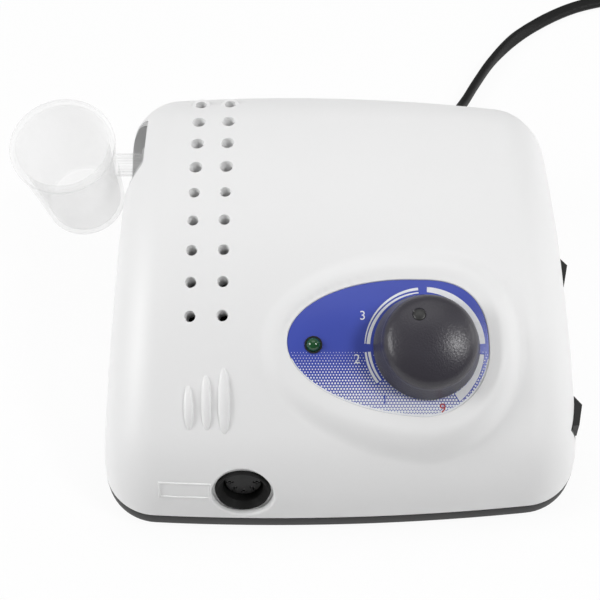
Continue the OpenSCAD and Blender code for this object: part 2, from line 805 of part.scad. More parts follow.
// Knob: a tapered side, a tight shoulder and a shallow dome with a dimple
knob_gap = 0.3;
knob_foot = 1.2;
knob_lip = 0.6;
knob_roof = 4;
shoulder_r = 5;
dome_r = 30;
dome_z = knob_h - dome_r;
shoulder_at = [knob_top_r - shoulder_r, dome_z + sqrt(pow(dome_r - shoulder_r, 2) - pow(knob_top_r - shoulder_r, 2))];
shoulder_turn = atan2(shoulder_at[1] - dome_z, shoulder_at[0]);
nut_room_r = bush_r + 3.4;
nut_room_h = 2.6;
module speed_knob() {
    color(KNOB_GREY) placed() on_panel() translate([0, 0, knob_gap]) difference() {
        rotate_extrude($fn = 128) polygon(concat(
            [[0, 0], [knob_r - knob_lip, 0], [knob_r, knob_lip], [knob_r, knob_foot]],
            [for (k = [0:8]) shoulder_at + shoulder_r * dir(shoulder_turn * k / 8)],
            [for (k = [1:8]) [0, dome_z] + dome_r * dir(shoulder_turn + (90 - shoulder_turn) * k / 8)]
        ));
        translate([0, 0, -EPS]) cylinder(r = nut_room_r, h = nut_room_h);
        translate([0, 0, -EPS]) cylinder(r = shaft_r + run_gap / 2, h = knob_h - knob_roof);
        knob_dimple() cylinder(r = dimple_r, h = knob_roof);
    }
}
dimple_r = 2.1;
dimple_turn = 26;
dimple_at = 8.4;
dimple_depth = 0.9;
dimple_z = dome_z + sqrt(dome_r * dome_r - dimple_at * dimple_at) - dimple_depth;
dot_h = 0.3;
dot_ball_r = 3.4;
module knob_dimple() {
    rotate([0, 0, dimple_turn]) translate([0, dimple_at, dimple_z]) children();
}
module knob_pointer() {
    color(BLACK) placed() on_panel() translate([0, 0, knob_gap]) knob_dimple() intersection() {
        cylinder(r = dimple_r - run_gap, h = dot_ball_r);
        translate([0, 0, dot_h - sqrt(dot_ball_r * dot_ball_r - dimple_r * dimple_r)]) sphere(dot_ball_r);
    }
}

module potentiometer_shaft() {
    color(STEEL) placed() on_panel() translate([0, 0, -pot_seat + seat_gap])
        cylinder(r = shaft_r, h = pot_seat + knob_gap + knob_h - knob_roof - 2 * seat_gap);
}
module potentiometer_body() {
    color(STEEL) placed() on_panel() difference() {
        union() {
            translate([0, 0, -pot_seat - pot_h]) cylinder(r = pot_r, h = pot_h);
            translate([0, 0, -pot_seat - EPS]) cylinder(r = bush_r, h = bush_l + EPS);
            for (s = [-1, 0, 1])
                translate([s * 5 - 0.8, -pot_r - 7, -pot_seat - pot_h + 1]) cube([1.6, 9, 0.8]);
        }
        translate([0, 0, -pot_seat]) cylinder(r = shaft_r + run_gap, h = 30);
    }
}
module potentiometer_nut() {
    color(STEEL) placed() on_panel() translate([0, 0, -panel_sink]) hex_nut(bush_r + 2, bush_r, nut_h);
}

module motor_socket_shell() {
    color(BLACK) placed() on_socket() difference() {
        union() {
            translate([0, 0, pocket_floor]) cylinder(r1 = socket_r, r2 = socket_r - shell_taper, h = shell_t);
            translate([0, 0, pocket_floor - barrel_l]) cylinder(r = barrel_r, h = barrel_l + EPS);
        }
        translate([0, 0, funnel_z]) cylinder(r1 = socket_bore_r, r2 = funnel_r, h = funnel_depth + EPS);
        translate([0, 0, insert_z - socket_depth])
            cylinder(r = socket_bore_r, h = socket_depth + funnel_z - insert_z + EPS);
        translate([0, 0, pocket_floor - barrel_l - EPS]) cylinder(r = insert_r, h = barrel_l);
    }
}
module at_contacts() {
    for (k = [0:4])
        rotate([0, 0, -180 + 45 * k]) translate([contact_circle_r, 0, 0]) children();
}
module motor_socket_insert() {
    color(BLACK) placed() on_socket() difference() {
        translate([0, 0, insert_z - insert_l]) cylinder(r = insert_r, h = insert_l);
        at_contacts() translate([0, 0, insert_z - insert_l - EPS])
            cylinder(r = contact_r, h = insert_l + 2 * EPS, $fn = 32);
        translate([-key_w / 2, insert_r - key_w / 2, insert_z - socket_depth]) cube([key_w, key_w, socket_depth + 1]);
    }
}
module motor_socket_contacts() {
    color(STEEL) placed() on_socket() at_contacts()
        translate([0, 0, insert_z - insert_l - contact_tail]) difference() {
            cylinder(r = contact_r - run_gap / 2, h = insert_l + contact_tail - contact_sink, $fn = 32);
            translate([0, 0, 2 * contact_tail]) cylinder(r = contact_hole_r, h = insert_l, $fn = 32);
        }
}
module motor_socket_nut() {
    color(STEEL) placed() on_socket() translate([0, 0, pocket_floor - socket_wall - 2])
        hex_nut(barrel_r + 1.8, barrel_r, 2);
}

// Switch frame with the cavity and the two blind holes that carry the rocker's pins
module switch_frame(y, z) {
    difference() {
        intersection() {
            housing_solid(frame_sink, seam_z, 10);
            on_right_wall(y, z) {
                translate([-switch_seat_t - run_gap - flange_t, -frame_l / 2 - flange_lip, -frame_w / 2 - flange_lip])
                    cube([flange_t, frame_l + 2 * flange_lip, frame_w + 2 * flange_lip]);
                translate([-frame_depth, -frame_l / 2, -frame_w / 2]) cube([frame_depth, frame_l, frame_w]);
            }
        }
        on_right_wall(y, z) {
            translate([-cavity_depth, -opening_l / 2, -opening_w / 2])
                cube([2 * cavity_depth, opening_l, opening_w]);
            translate([rocker_axis, 0, -rocker_w / 2 - rocker_pin_l - 0.1])
                cylinder(r = rocker_pin_r + run_gap, h = rocker_w + 2 * rocker_pin_l + 0.2);
        }
    }
}
terminal_l = 6;
terminal_w = 4.8;
terminal_t = 0.8;
terminal_pitch = 4.6;
module switch_terminals(y, z) {
    on_right_wall(y, z) for (k = [-1, 0, 1])
        translate([-frame_depth - terminal_l, k * terminal_pitch - terminal_t / 2, -terminal_w / 2])
            cube([terminal_l, terminal_t, terminal_w]);
}
// Roof-shaped rocker that turns about its pins, drawn at rest with its front end out
module rocker(y, z) {
    end_low = rocker_end_h - rocker_end_l;
    on_right_wall(y, z) translate([rocker_axis, 0, 0]) rotate([0, 0, rocker_tilt]) {
        translate([0, 0, -rocker_w / 2]) linear_extrude(rocker_w) polygon([
            [rocker_h, 0], [rocker_end_h, rocker_reach], [end_low, rocker_reach], [-rocker_foot[0], rocker_foot[1]],
            [-rocker_foot[0], -rocker_foot[1]], [end_low, -rocker_reach], [rocker_end_h, -rocker_reach]
        ]);
        translate([0, 0, -rocker_w / 2 - rocker_pin_l])
            cylinder(r = rocker_pin_r, h = rocker_w + 2 * rocker_pin_l);
    }
}
module power_switch_frame() {
    color(BLACK) placed() switch_frame(power_y, power_z);
}
module power_switch_terminals() {
    color(STEEL) placed() switch_terminals(power_y, power_z);
}
module power_rocker() {
    color(BLACK) placed() rocker(power_y, power_z);
}
module direction_switch_frame() {
    color(BLACK) placed() switch_frame(direction_y, direction_z);
}
module direction_switch_terminals() {
    color(STEEL) placed() switch_terminals(direction_y, direction_z);
}
module direction_rocker() {
    color(BLACK) placed() rocker(direction_y, direction_z);
}

// Lined pocket in the left side, with the bush that carries the cup's peg
module cup_socket() {
    color(DARK_GREY) placed() difference() {
        union() {
            intersection() {
                on_peg(pocket_x + liner_floor) rotate([0, -90, 0]) difference() {
                    cylinder(r = cup_pocket_r - run_gap, h = through);
                    translate([0, 0, liner_floor]) cylinder(r = cup_pocket_r - liner_t, h = through);
                }
                housing_solid(liner_sink, seam_z, 10);
            }
            on_peg(pocket_x + liner_floor + bush_in) rotate([0, -90, 0])
                cylinder(r = peg_r + bush_wall, h = bush_in + liner_floor + bush_out);
        }
        on_peg(pocket_x + liner_floor + bush_in - bush_floor) rotate([0, -90, 0])
            cylinder(r = peg_r + run_gap, h = through);
    }
}

// Clear cup with its peg, one moulding
foot_round = 2;
cup_floor = 1.6;
lip_h = 2.4;
lip_t = 2.4;
rib_r = 0.7;
module cup_wall_shape() {
    neck_r = cup_rim_r - 0.9;
    polygon(concat(
        [[0, 0]],
        [for (a = [-90:15:0]) [cup_base_r - foot_round + foot_round * cos(a), foot_round + foot_round * sin(a)]],
        [[neck_r, cup_h - lip_h - 0.5], [cup_rim_r, cup_h - lip_h], [cup_rim_r, cup_h - 0.7]],
        [[cup_rim_r - 0.7, cup_h], [cup_rim_r - lip_t + 0.5, cup_h], [cup_rim_r - lip_t, cup_h - 0.5]],
        [[cup_base_r - cup_wall, cup_floor + 1], [cup_base_r - cup_wall - 1, cup_floor], [0, cup_floor]]
    ));
}
module bit_cup() {
    peg_start = cup_base_r + 0.1;
    bush_face = pocket_x - bush_out;
    rib_l = bush_face - 0.5 - cup_x - peg_start;
    color(CLEAR) placed() on_peg(cup_x) rotate([cup_lean, 0, 0]) {
        translate([0, 0, peg_drop - cup_h]) rotate_extrude($fn = 96) cup_wall_shape();
        difference() {
            union() {
                translate([peg_start, 0, 0]) rotate([0, 90, 0])
                    cylinder(r = peg_core_r, h = bush_face - cup_x - peg_start);
                for (a = [0:45:315])
                    rotate([a, 0, 0]) translate([peg_start, 0, peg_core_r]) rotate([0, 90, 0])
                        cylinder(r = rib_r, h = rib_l, $fn = 24);
                translate([bush_face - cup_x - EPS, 0, 0]) rotate([0, 90, 0])
                    cylinder(r = peg_r, h = peg_in_l);
            }
            translate([0, 0, peg_drop - cup_h]) cylinder(r1 = cup_base_r - 0.8, r2 = cup_rim_r - 1.6, h = cup_h);
        }
    }
}

module transformer_core() {
    color(STEEL) placed() translate([core_at[0], core_at[1], core_z + core_h / 2]) difference() {
        cube([core_w, core_stack, core_h], center = true);
        for (s = [-1, 1])
            translate([s * limb * 1.5, 0, 0]) cube([limb, core_stack + 1, core_h - 2 * limb], center = true);
    }
}
module transformer_winding() {
    side = 0.2;
    color(COPPER) placed() translate([core_at[0], core_at[1], core_z + core_h / 2]) difference() {
        cube([4 * limb - 2 * side, core_stack + 1.8 * limb, core_h - 2 * limb - 2 * side], center = true);
        cube([2 * limb + 2 * side, core_stack + 2 * side, core_h], center = true);
    }
}
module transformer_bracket() {
    color(STEEL) placed() translate([core_at[0], core_at[1], strap_z]) difference() {
        union() {
            translate([-core_w / 2 - strap_ear, -core_stack / 2, 0])
                cube([core_w + 2 * strap_ear, core_stack, strap_t]);
            for (s = [-1, 1])
                translate([s * (core_w / 2 + strap_t / 2) - strap_t / 2, -core_stack / 2, 0])
                    cube([strap_t, core_stack, core_h + 2 * strap_t]);
            translate([-core_w / 2, -core_stack / 2, core_h + strap_t]) cube([core_w, core_stack, strap_t]);
        }
        for (s = [-1, 1])
            translate([s * ear_x, 0, -1]) cylinder(r = ear_screw_r + 0.2, h = 5);
    }
}
module transformer_screws() {
    color(STEEL) placed() for (s = [-1, 1]) translate([core_at[0] + s * ear_x, core_at[1], 0]) {
        translate([0, 0, strap_z + strap_t]) cylinder(r = ear_screw_r * 1.8, h = ear_head_h);
        translate([0, 0, foot_h + ear_skin + seat_gap]) cylinder(r = ear_screw_r, h = strap_z + strap_t - foot_h);
    }
}

module circuit_board() {
    color(BOARD_GREEN) placed() difference() {
        at_board(0, 0) translate([-board_w / 2, -board_l / 2, board_z]) cube([board_w, board_l, board_t]);
        at_board_screws() translate([0, 0, board_z - 1]) cylinder(r = board_screw_r + 0.2, h = 5);
    }
}
module board_screws() {
    color(STEEL) placed() at_board_screws() {
        translate([0, 0, board_top]) cylinder(r = board_screw_r * 1.8, h = 1.8);
        translate([0, 0, floor_z + 0.3]) cylinder(r = board_screw_r, h = board_top - floor_z);
    }
}
// Capacitors on the board, each with its place, radius and height
capacitors = [[-12, 10, 5, 15], [1, 10, 5, 15], [13, 10, 3, 10], [-14, -3, 3, 10]];
module board_capacitors() {
    color(BLACK) placed() for (c = capacitors)
        at_board(c[0], c[1]) translate([0, 0, board_top]) cylinder(r = c[2], h = c[3]);
}
sink_at = [0, -20];
sink_w = 30;
sink_h = 17;
sink_t = 2;
fin_l = 6;
fin_t = 1.2;
fin_count = 7;
module heat_sink() {
    color(STEEL) placed() at_board(sink_at[0], sink_at[1]) translate([-sink_w / 2, 0, board_top]) {
        cube([sink_w, sink_t, sink_h]);
        for (k = [0:fin_count - 1])
            translate([k * (sink_w - fin_t) / (fin_count - 1), sink_t - EPS, 0]) cube([fin_t, fin_l, sink_h]);
    }
}
transistor_w = 10;
transistor_t = 4.5;
transistor_h = 12;
leg_w = 0.8;
leg_l = 4;
leg_pitch = 2.54;
module power_transistors() {
    color(BLACK) placed() for (s = [-1, 1])
        at_board(sink_at[0] + s * sink_w / 4, sink_at[1] - transistor_t) translate([0, 0, board_top]) {
            translate([-transistor_w / 2, 0, leg_l]) cube([transistor_w, transistor_t, transistor_h]);
            for (k = [-1:1])
                translate([leg_pitch * k - leg_w / 2, (transistor_t - leg_w) / 2, 0])
                    cube([leg_w, leg_w, leg_l + EPS]);
        }
}
connector_w = 8;
connector_d = 6;
connector_h = 8;
connector_wall = 1;
connector_y = board_screw_y - 7;
module board_connectors() {
    color(WHITE) placed() for (k = [-1:1])
        at_board(k * (connector_w + 1), connector_y)
            translate([-connector_w / 2, -connector_d / 2, board_top]) difference() {
                cube([connector_w, connector_d, connector_h]);
                translate([connector_wall, connector_wall, 2 * connector_wall])
                    cube([connector_w - 2 * connector_wall, connector_d - 2 * connector_wall, connector_h]);
            }
}

// Fuse holder, foot pedal jack and mains gland on the rear wall
module fuse_holder() {
    color(BLACK) placed() on_rear_wall(fuse_x, fuse_z) difference() {
        union() {
            cylinder(r = fuse_r + 2, h = fuse_flange_t);
            translate([0, 0, -24]) cylinder(r = fuse_r, h = 24 + EPS);
        }
        translate([0, 0, -21]) cylinder(r = fuse_r - 1.8, h = 40);
    }
}
module fuse_cap() {
    color(BLACK) placed() on_rear_wall(fuse_x, fuse_z) {
        translate([0, 0, fuse_flange_t]) difference() {
            cylinder(r = fuse_r - 1, h = fuse_cap_h);
            translate([-fuse_r, -0.6, fuse_cap_h - 1.4]) cube([2 * fuse_r, 1.2, 3]);
        }
        translate([0, 0, fuse_flange_t - 6]) cylinder(r = fuse_r - 1.8 - run_gap, h = 6 + EPS);
    }
}
module fuse_nut() {
    color(BLACK) placed() on_rear_wall(fuse_x, fuse_z) translate([0, 0, -wall - nut_room - fuse_nut_h])
        hex_nut(fuse_r + 2, fuse_r, fuse_nut_h);
}
module pedal_jack() {
    color(BLACK) placed() on_rear_wall(jack_x, jack_z) difference() {
        union() {
            cylinder(r = jack_r + 1.6, h = 1.8);
            translate([0, 0, -jack_l]) cylinder(r = jack_r, h = jack_l + EPS);
        }
        translate([0, 0, -jack_l + 2]) cylinder(r = jack_bore_r, h = 40);
    }
}
module pedal_jack_nut() {
    color(STEEL) placed() on_rear_wall(jack_x, jack_z) translate([0, 0, -wall - nut_room - jack_nut_h])
        hex_nut(jack_r + 1.6, jack_r, jack_nut_h);
}
module cord_gland() {
    color(BLACK) placed() on_rear_wall(gland_x, gland_z) {
        translate([0, 0, -wall - 4]) cylinder(r = gland_r, h = wall + 4 + EPS);
        cylinder(r = gland_flange_r, h = gland_flange_t);
    }
    color(BLACK) placed() translate(relief_start)
        rotate([0, 0, -rear_turn(gland_x)]) rotate([-90 - relief_droop, 0, 0]) translate([0, 0, -relief_root])
            cylinder(r1 = gland_r, r2 = cord_w / 2 + 1, h = relief_l + relief_root);
}
module mains_cord() {
    color(BLACK) lead(cord_points, relief_axis, [1, 0, 0], 10);
}
module cord_coil() {
    echo(coil_least_gap = coil_gap());
    color(BLACK) lead(coil_points, [1, 0, 0], [-1, 0, 0], 6);
}
tie_w = 5;
module cord_tie() {
    in_r = coil_out - coil_pitch * coil_turns - cord_t / 2 - 0.6;
    out_r = coil_out + cord_t / 2 + 0.6;
    high = coil_z + layer_h + cord_w / 2 + 0.3;
    color(BLACK) translate([coil_at[0], coil_at[1] - tie_w / 2, 0]) difference() {
        translate([in_r - tie_t, 0, 0]) cube([out_r - in_r + 2 * tie_t, tie_w, high + tie_t]);
        translate([in_r, -1, tie_t]) cube([out_r - in_r, tie_w + 2, high - tie_t]);
    }
}
module mains_plug() {
    plug_h = 2 * plug_at[2];
    color(BLACK) on_plug() {
        cylinder(r1 = cord_w / 2 + 1, r2 = 6, h = plug_relief_l + EPS);
        translate([0, 0, plug_relief_l]) linear_extrude(plug_l) rounded_rect(plug_h, plug_w, 5);
    }
}
module plug_pins() {
    color(STEEL) on_plug() for (s = [-1, 1])
        translate([0, s * pin_space / 2, plug_relief_l + plug_l]) cylinder(r = plug_pin_r, h = plug_pin_l);
}

upper_housing();
base_tray();
rubber_feet();
case_screws();
dial_panel();
led_collar();
indicator_led();
speed_knob();
knob_pointer();
potentiometer_shaft();
potentiometer_body();
potentiometer_nut();
motor_socket_shell();
motor_socket_insert();
motor_socket_contacts();
motor_socket_nut();
power_switch_frame();
power_switch_terminals();
power_rocker();
direction_switch_frame();
direction_switch_terminals();
direction_rocker();
cup_socket();
bit_cup();
transformer_core();
transformer_winding();
transformer_bracket();
transformer_screws();
circuit_board();
board_screws();
board_capacitors();
heat_sink();
power_transistors();
board_connectors();
fuse_holder();
fuse_cap();
fuse_nut();
pedal_jack();
pedal_jack_nut();
cord_gland();
mains_cord();
cord_coil();
cord_tie();
mains_plug();
plug_pins();
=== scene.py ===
"""Looks of the nail drill machine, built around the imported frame.

All measures are in millimetres until a mesh is made, and the frame is the one of the solid model:
+X to the right of the user, +Y to the rear, +Z up, with the table at zero. Angles are in degrees.
A shape is a pair of points and faces. A local frame is an origin with its three axes.
"""
import json
import math

import bmesh
import bpy
import numpy as np
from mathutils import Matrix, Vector


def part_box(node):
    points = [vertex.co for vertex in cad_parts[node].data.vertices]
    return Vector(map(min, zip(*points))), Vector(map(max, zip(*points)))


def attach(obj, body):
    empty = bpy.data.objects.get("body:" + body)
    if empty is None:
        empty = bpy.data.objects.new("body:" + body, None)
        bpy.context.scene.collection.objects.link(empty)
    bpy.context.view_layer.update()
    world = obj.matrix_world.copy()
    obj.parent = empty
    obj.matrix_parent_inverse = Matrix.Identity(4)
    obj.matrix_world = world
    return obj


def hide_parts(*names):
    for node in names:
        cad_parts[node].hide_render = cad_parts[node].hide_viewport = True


MM = 0.001
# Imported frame, and the way from the source's own origin to it
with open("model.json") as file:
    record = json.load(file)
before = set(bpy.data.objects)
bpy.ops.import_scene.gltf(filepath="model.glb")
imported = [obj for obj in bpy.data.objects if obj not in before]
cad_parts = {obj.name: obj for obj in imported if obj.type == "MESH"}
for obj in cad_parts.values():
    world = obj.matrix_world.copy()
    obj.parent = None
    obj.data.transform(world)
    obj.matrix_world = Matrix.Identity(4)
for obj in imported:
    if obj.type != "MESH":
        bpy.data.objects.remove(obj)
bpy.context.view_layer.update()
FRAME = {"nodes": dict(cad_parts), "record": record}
BASE_LOW, BASE_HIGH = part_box("base_tray")
SHIFT = ((BASE_LOW.x + BASE_HIGH.x) / 2 / MM, (BASE_LOW.y + BASE_HIGH.y) / 2 / MM, 0.0)
HERE = (0.0, 0.0, 0.0)

# Gap round a piece in its hole
FIT = 0.1

# Housing, as in the solid model
BODY_W = 160.0
BODY_D = 151.0
SEAM_Z = 9.0
SEAM_ROUND = 0.5
SEAM_STEPS = (0.0, 0.08, 0.3, 0.65, 1.0)
WALL = 2.5
EDGE_R = 18.0
BOW_R = 800.0
BOW_X = -20.0
FRONT_R = 37.0
FRONT_LEAN = 8.0
FRONT_RISE = 5.5
CROWN_SLOPE = 37.0
CROWN_FALL = 1.0
REAR_R = 28.0
REAR_DRAFT = 3.0
SIDE_DRAFT = 5.0
HALF_W = BODY_W / 2
HALF_D = BODY_D / 2
# Sections across the housing: wide and narrow steps, and the stretch of the narrow ones
SECTION_STEPS = (1.4, 0.9)
FINE_FROM = -32
FINE_TO = 56

# Fins on the front slope: place, length and width
FINS = ((-49, -53.5, 13.8, 2.9), (-43.4, -52.3, 17.2, 3.2), (-37.8, -51.9, 20.6, 3.8))
# Share of a fin's outline at each height
FIN_SECTION = ((1.0, -1.0), (1.0, 0.15), (0.95, 0.5), (0.86, 0.8), (0.72, 1.06), (0.54, 1.26), (0.32, 1.38),
               (0.08, 1.42))
FIN_SIDES = 72
FIN_BLUNT = 0.75
FIN_DROP = 0.35

# Raised frame beside the motor socket: growth and height of its section
LABEL_AT = (-51.8, 22.6)
LABEL_SIZE = (17.2, 6.4)
LABEL_SECTION = ((0, -0.6), (0, 0.12), (-0.14, 0.3), (-0.35, 0.36), (-0.56, 0.3), (-0.7, 0.12), (-0.7, -0.6))
LABEL_STEPS = 8

# Base tray
FOOT_H = 3.0
FLOOR_T = 2.0
BASE_ROUND = 1.2
TONGUE_IN = 3.3
TONGUE_T = 1.2
TONGUE_H = 2.0
SCREW_AT = (62.0, 55.0)
SCREW_POST_R = 4.3
SCREW_HEAD_R = 3.0
SCREW_HEAD_SINK = 4.0
SCREW_HOLE_R = 1.75
POST_TOP = 13.0

# Vents
VENT_AT = (-49.0, 55.0)
VENT_PITCH = 10.4
VENT_ROWS = 9
VENT_REAR_ROWS = 4
VENT_REAR_R = 2.3
VENT_FRONT_R = 1.9
VENT_DEPTH = 9.0
VENT_COLLAR_T = 0.9
VENT_COLLAR_TOP = -1.2
# Share of a vent's radius at each height: a hole that opens a little to its soft mouth
VENT_BORE = ((0.84, -14.0), (0.86, -1.6), (0.9, -0.8), (0.95, -0.35), (1.0, -0.12), (1.06, -0.01),
             (1.1, 0.05), (1.1, 4.0))

# Dial panel, in its own plane
DIAL_AT = (26.0, -38.0)
PANEL_TILT = 24.0
PAD_RISE = 2.4
PAD_FLAT = 3.5
PAD_FALL = 0.083
PAD_POWER = 2.09
PAD_BLEND = 2.2
PANEL_LEFT = 42.4
PANEL_ROUND = 21.9
PANEL_RIGHT = 21.4
PANEL_FULL = 2.6
PANEL_MID = -1.5
PANEL_LEAN = 0.045
PANEL_SINK = 0.25
PANEL_T = 1.2
PANEL_GAP = 0.03
PANEL_MOUTH = 0.4
LED_AT = (-35.6, 0.9)
LED_R = 2.3
LED_HOLE_R = 2.85
BUSH_R = 3.6

# Print on the panel
PRINT_T = 0.03
PRINT_EDGE = 0.1
PRINT_FOOT = -PANEL_SINK - 0.05
DOT_PITCH = 0.945
DOT_ROW = 0.89
DOT_START = -1.6
DOT_R = 0.11
DOT_GROWTH = 0.37
DOT_POWER = 0.8
# Bands of the speed scale: angle, inner radius and outer radius
DIAL_BANDS = (
    ((96.0, 18.6, 19.5), (176.5, 19.2, 19.5)),
    ((96.0, 17.6, 18.0), (176.5, 17.7, 18.85)),
    ((184.5, 18.9, 19.5), (216.0, 18.65, 19.55)),
    ((184.5, 17.6, 18.5), (216.0, 17.6, 18.2)),
    ((3.5, 17.0, 18.75), (20.0, 17.0, 19.0), (60.0, 17.4, 19.42), (87.5, 17.95, 19.6)),
    ((-60.0, 16.95, 19.85), (-40.0, 16.95, 18.9), (-20.0, 16.95, 18.5), (-7.5, 16.95, 18.4)),
)
# Plain ground under the bands, which parts them from the dots
DIAL_GROUNDS = (
    ((183.5, 16.9, 19.75), (217.0, 16.9, 19.75)),
    ((-61.0, 16.9, 20.05), (-40.0, 16.9, 19.1), (-20.0, 16.9, 18.7), (-6.5, 16.9, 18.6)),
)
NUMERAL_H = 3.0
# Height of a numeral in units of its font size
FONT_SHARE = 0.72
NUMERALS = (
    ("numeral_low", "1", -13.4, -16.6, "blue_panel"),
    ("numeral_second", "2", -21.9, -3.8, "white_ink"),
    ("numeral_third", "3", -19.9, 10.2, "white_ink"),
    ("numeral_high", "9", 4.6, -19.4, "red_ink"),
)

# Knob
KNOB_GAP = 0.3
KNOB_R = 16.8
KNOB_H = 15.5
KNOB_FOOT = 1.2
KNOB_EDGE = 0.6
KNOB_TOP_R = 14.9
KNOB_ROOM_R = 7.0
KNOB_ROOM_H = 2.6
SHOULDER_R = 5.0
DOME_R = 30.0
DIMPLE_R = 2.1
DIMPLE_TURN = 26.0
DIMPLE_AT = 8.4
DIMPLE_DEPTH = 0.5
DIMPLE_MOUTH = 0.3
DOT_GAP = 0.15
DOT_RISE = 0.62

# Motor socket
SOCKET_AT = (-32.4, 20.3)
SOCKET_TILT = 14.5
SOCKET_SINK = 2.4
SOCKET_POCKET_R = 10.0
SOCKET_MOUTH = 0.9
SOCKET_FLOOR = -0.6
SOCKET_BARREL_R = 8.05
SOCKET_SEAT_R = 11.0
INSERT_R = 5.9
INSERT_Z = -3.6
INSERT_L = 15.0
CONTACT_CIRCLE_R = 4.45
CONTACTS = 5
CONTACT_STEP = 45
# Length and width of the two bars of a contact's opening
CROSS_BARS = ((2.6, 0.75), (0.75, 2.0))
CROSS_DEPTH = 7

# Rocker switches on the right wall
POWER_AT = (1.0, 41.5)
DIRECTION_AT = (-44.0, 23.0)
FRAME_L = 18.22
FRAME_W = 10.0
FRAME_DEPTH = 13.0

# Bit cup
CUP_H = 44.0
CUP_RIM_R = 18.4
CUP_BASE_R = 15.0
CUP_BASE_ROUND = 2
CUP_WALL = 1.5
CUP_FLOOR = 1.6
CUP_LEAN = 16.0
CUP_LIP_T = 2.4
CUP_LIP_H = 2.4
PEG_DROP = 15.0
PEG_R = 3.9
PEG_CORE_R = 3.6
PEG_RIB_R = 0.7
PEG_RIBS = 8
CUP_X = -96.4
PEG_Y = 40.5
PEG_Z = 55.9955
POCKET_R = 15.5
POCKET_X = -68.0
POCKET_FLOOR = 0.05
POCKET_MOUTH = 0.7
BUSH_FACE_X = -70.0
PEG_IN_L = 13.0

# Holes of the rear wall for the gland, the fuse and the pedal jack: place and radius
GLAND_AT = (49.5, 16.0)
REAR_HOLES = ((GLAND_AT, 4.7), ((14.0, 26.0), 6.1), ((-16.0, 24.0), 4.1))

# Mains lead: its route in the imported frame, as in the solid model
CORD_T = 3.8
CORD_W = 5.8
CORD_SIDES = 20
RELIEF_END = (67.7856, 91.1, 14.0141)
RELIEF_AXIS = (0.0860749, 0.99079, -0.104528)
RELIEF_L = 20.0
RELIEF_R = 4.6
CORD_WAY = (
    (69.6, 104.5, 11.9), (71.4, 112, 9.1), (74, 119.5, 5.8), (77, 126, 3.6), (80.2, 132, 2.9),
    (83.3, 138, 2.9), (87.1, 145, 2.9), (92.8, 155, 2.9), (99.7, 165, 2.9), (108.4, 175.5, 2.9),
    (118.5, 185, 2.9), (129.6, 193.5, 2.9), (141.8, 200.5, 2.9), (154, 205, 2.9), (166.5, 208.3, 3),
    (179.5, 210.7, 3.4), (190.5, 212, 3.8), (200, 212.3, 4),
)
# Stretches of the lead over which it turns to lie almost flat, and back
LIE_FROM = (70.0, 126.0)
LIE_TO = (150.0, 205.0)
LIE_TURN = 72.0
LIE_GAP = 0.06
COIL_AT = (206.0, 253.0)
COIL_Z = 4.0
COIL_OUT = 40.7
COIL_TURNS = 3
COIL_LAYER = 6.4
COIL_STEPS = 48
TIE_T = 0.8
TIE_W = 5.0
TIE_EDGE = 0.3
PLUG_RELIEF_L = 32.0
PLUG_L = 30.0
PLUG_W = 33.0
PLUG_NECK = 12
# Share of the plug's size at each place along its body
PLUG_BODY = ((0.0, 0.5), (0.45, 1.4), (0.75, 3.2), (0.92, 6.0), (1.0, 9.5), (0.97, 14), (0.95, 18),
             (0.98, 23), (1.0, 27.5), (0.985, 29.2), (0.95, 30.0))

# Solids whose hard edges are rounded, by the width of the rounding
SOFT_EDGES = {
    0.35: ("power_switch_frame", "direction_switch_frame", "power_rocker", "direction_rocker"),
    0.2: ("fuse_cap", "fuse_holder", "pedal_jack", "motor_socket_shell", "led_collar", "plug_pins"),
}
SHARP_ANGLE = 32

# Stage: lamps have a place and a size in metres and a power in watts
CAMERA_AT = (2.494, -216.21, 313.12)
CAMERA_TURN = (36.844, 0.0, -0.143)
CAMERA_LENS = 59.41
LAMP_TARGET = (0.02, -0.02, 0.04)
LAMPS = (
    ("right key", (0.7, -0.31, 0.86), (0.24, 0.24), 4.7),
    ("left softbox", (-1.0, -0.14, 0.62), (0.5, 0.5), 7.2),
    ("top softbox", (0.0, 0.35, 1.04), (0.9, 0.6), 2.0),
    ("right fill", (1.16, 0.18, 0.4), (0.6, 0.6), 2.8),
)
STUDIO_FRONT = 0.12
STUDIO_REAR = 0.35
FLOOR_HALF = 3
FLOOR_GLOW = 0.93


# Meshes


def way(angle):
    """Unit vector in a plane."""
    a = math.radians(angle)
    return np.array([math.cos(a), math.sin(a)])


def sin_cos(angle):
    a = math.radians(angle)
    return math.sin(a), math.cos(a)


def arc(centre, r, first, last, steps):
    """Points of an arc in a plane, from one angle to another."""
    return [tuple(np.array(centre) + r * way(first + (last - first) * k / steps)) for k in range(steps + 1)]


def unit(vector):
    return vector / np.linalg.norm(vector)


def bisect(low, high, holds):
    """Place between two ends up to which a test holds."""
    for _ in range(40):
        mid = (low + high) / 2
        if holds(mid):
            low = mid
        else:
            high = mid
    return low


def linked(name, data):
    """New object in the scene."""
    obj = bpy.data.objects.new(name, data)
    bpy.context.scene.collection.objects.link(obj)
    return obj


def shade(mesh, angle):
    mesh.shade_smooth()
    mesh.set_sharp_from_angle(angle=math.radians(angle))


def mesh_object(name, shape, smooth=40, shift=SHIFT):
    """New object from a shape, with its normals outwards, shaded smooth up to an angle."""
    points, faces = shape
    mesh = bpy.data.meshes.new(name)
    scaled = (np.asarray(points, float) + np.asarray(shift, float)) * MM
    mesh.from_pydata(scaled.tolist(), [], faces)
    work = bmesh.new()
    work.from_mesh(mesh)
    bmesh.ops.recalc_face_normals(work, faces=work.faces)
    work.to_mesh(mesh)
    work.free()
    shade(mesh, smooth)
    return linked(name, mesh)


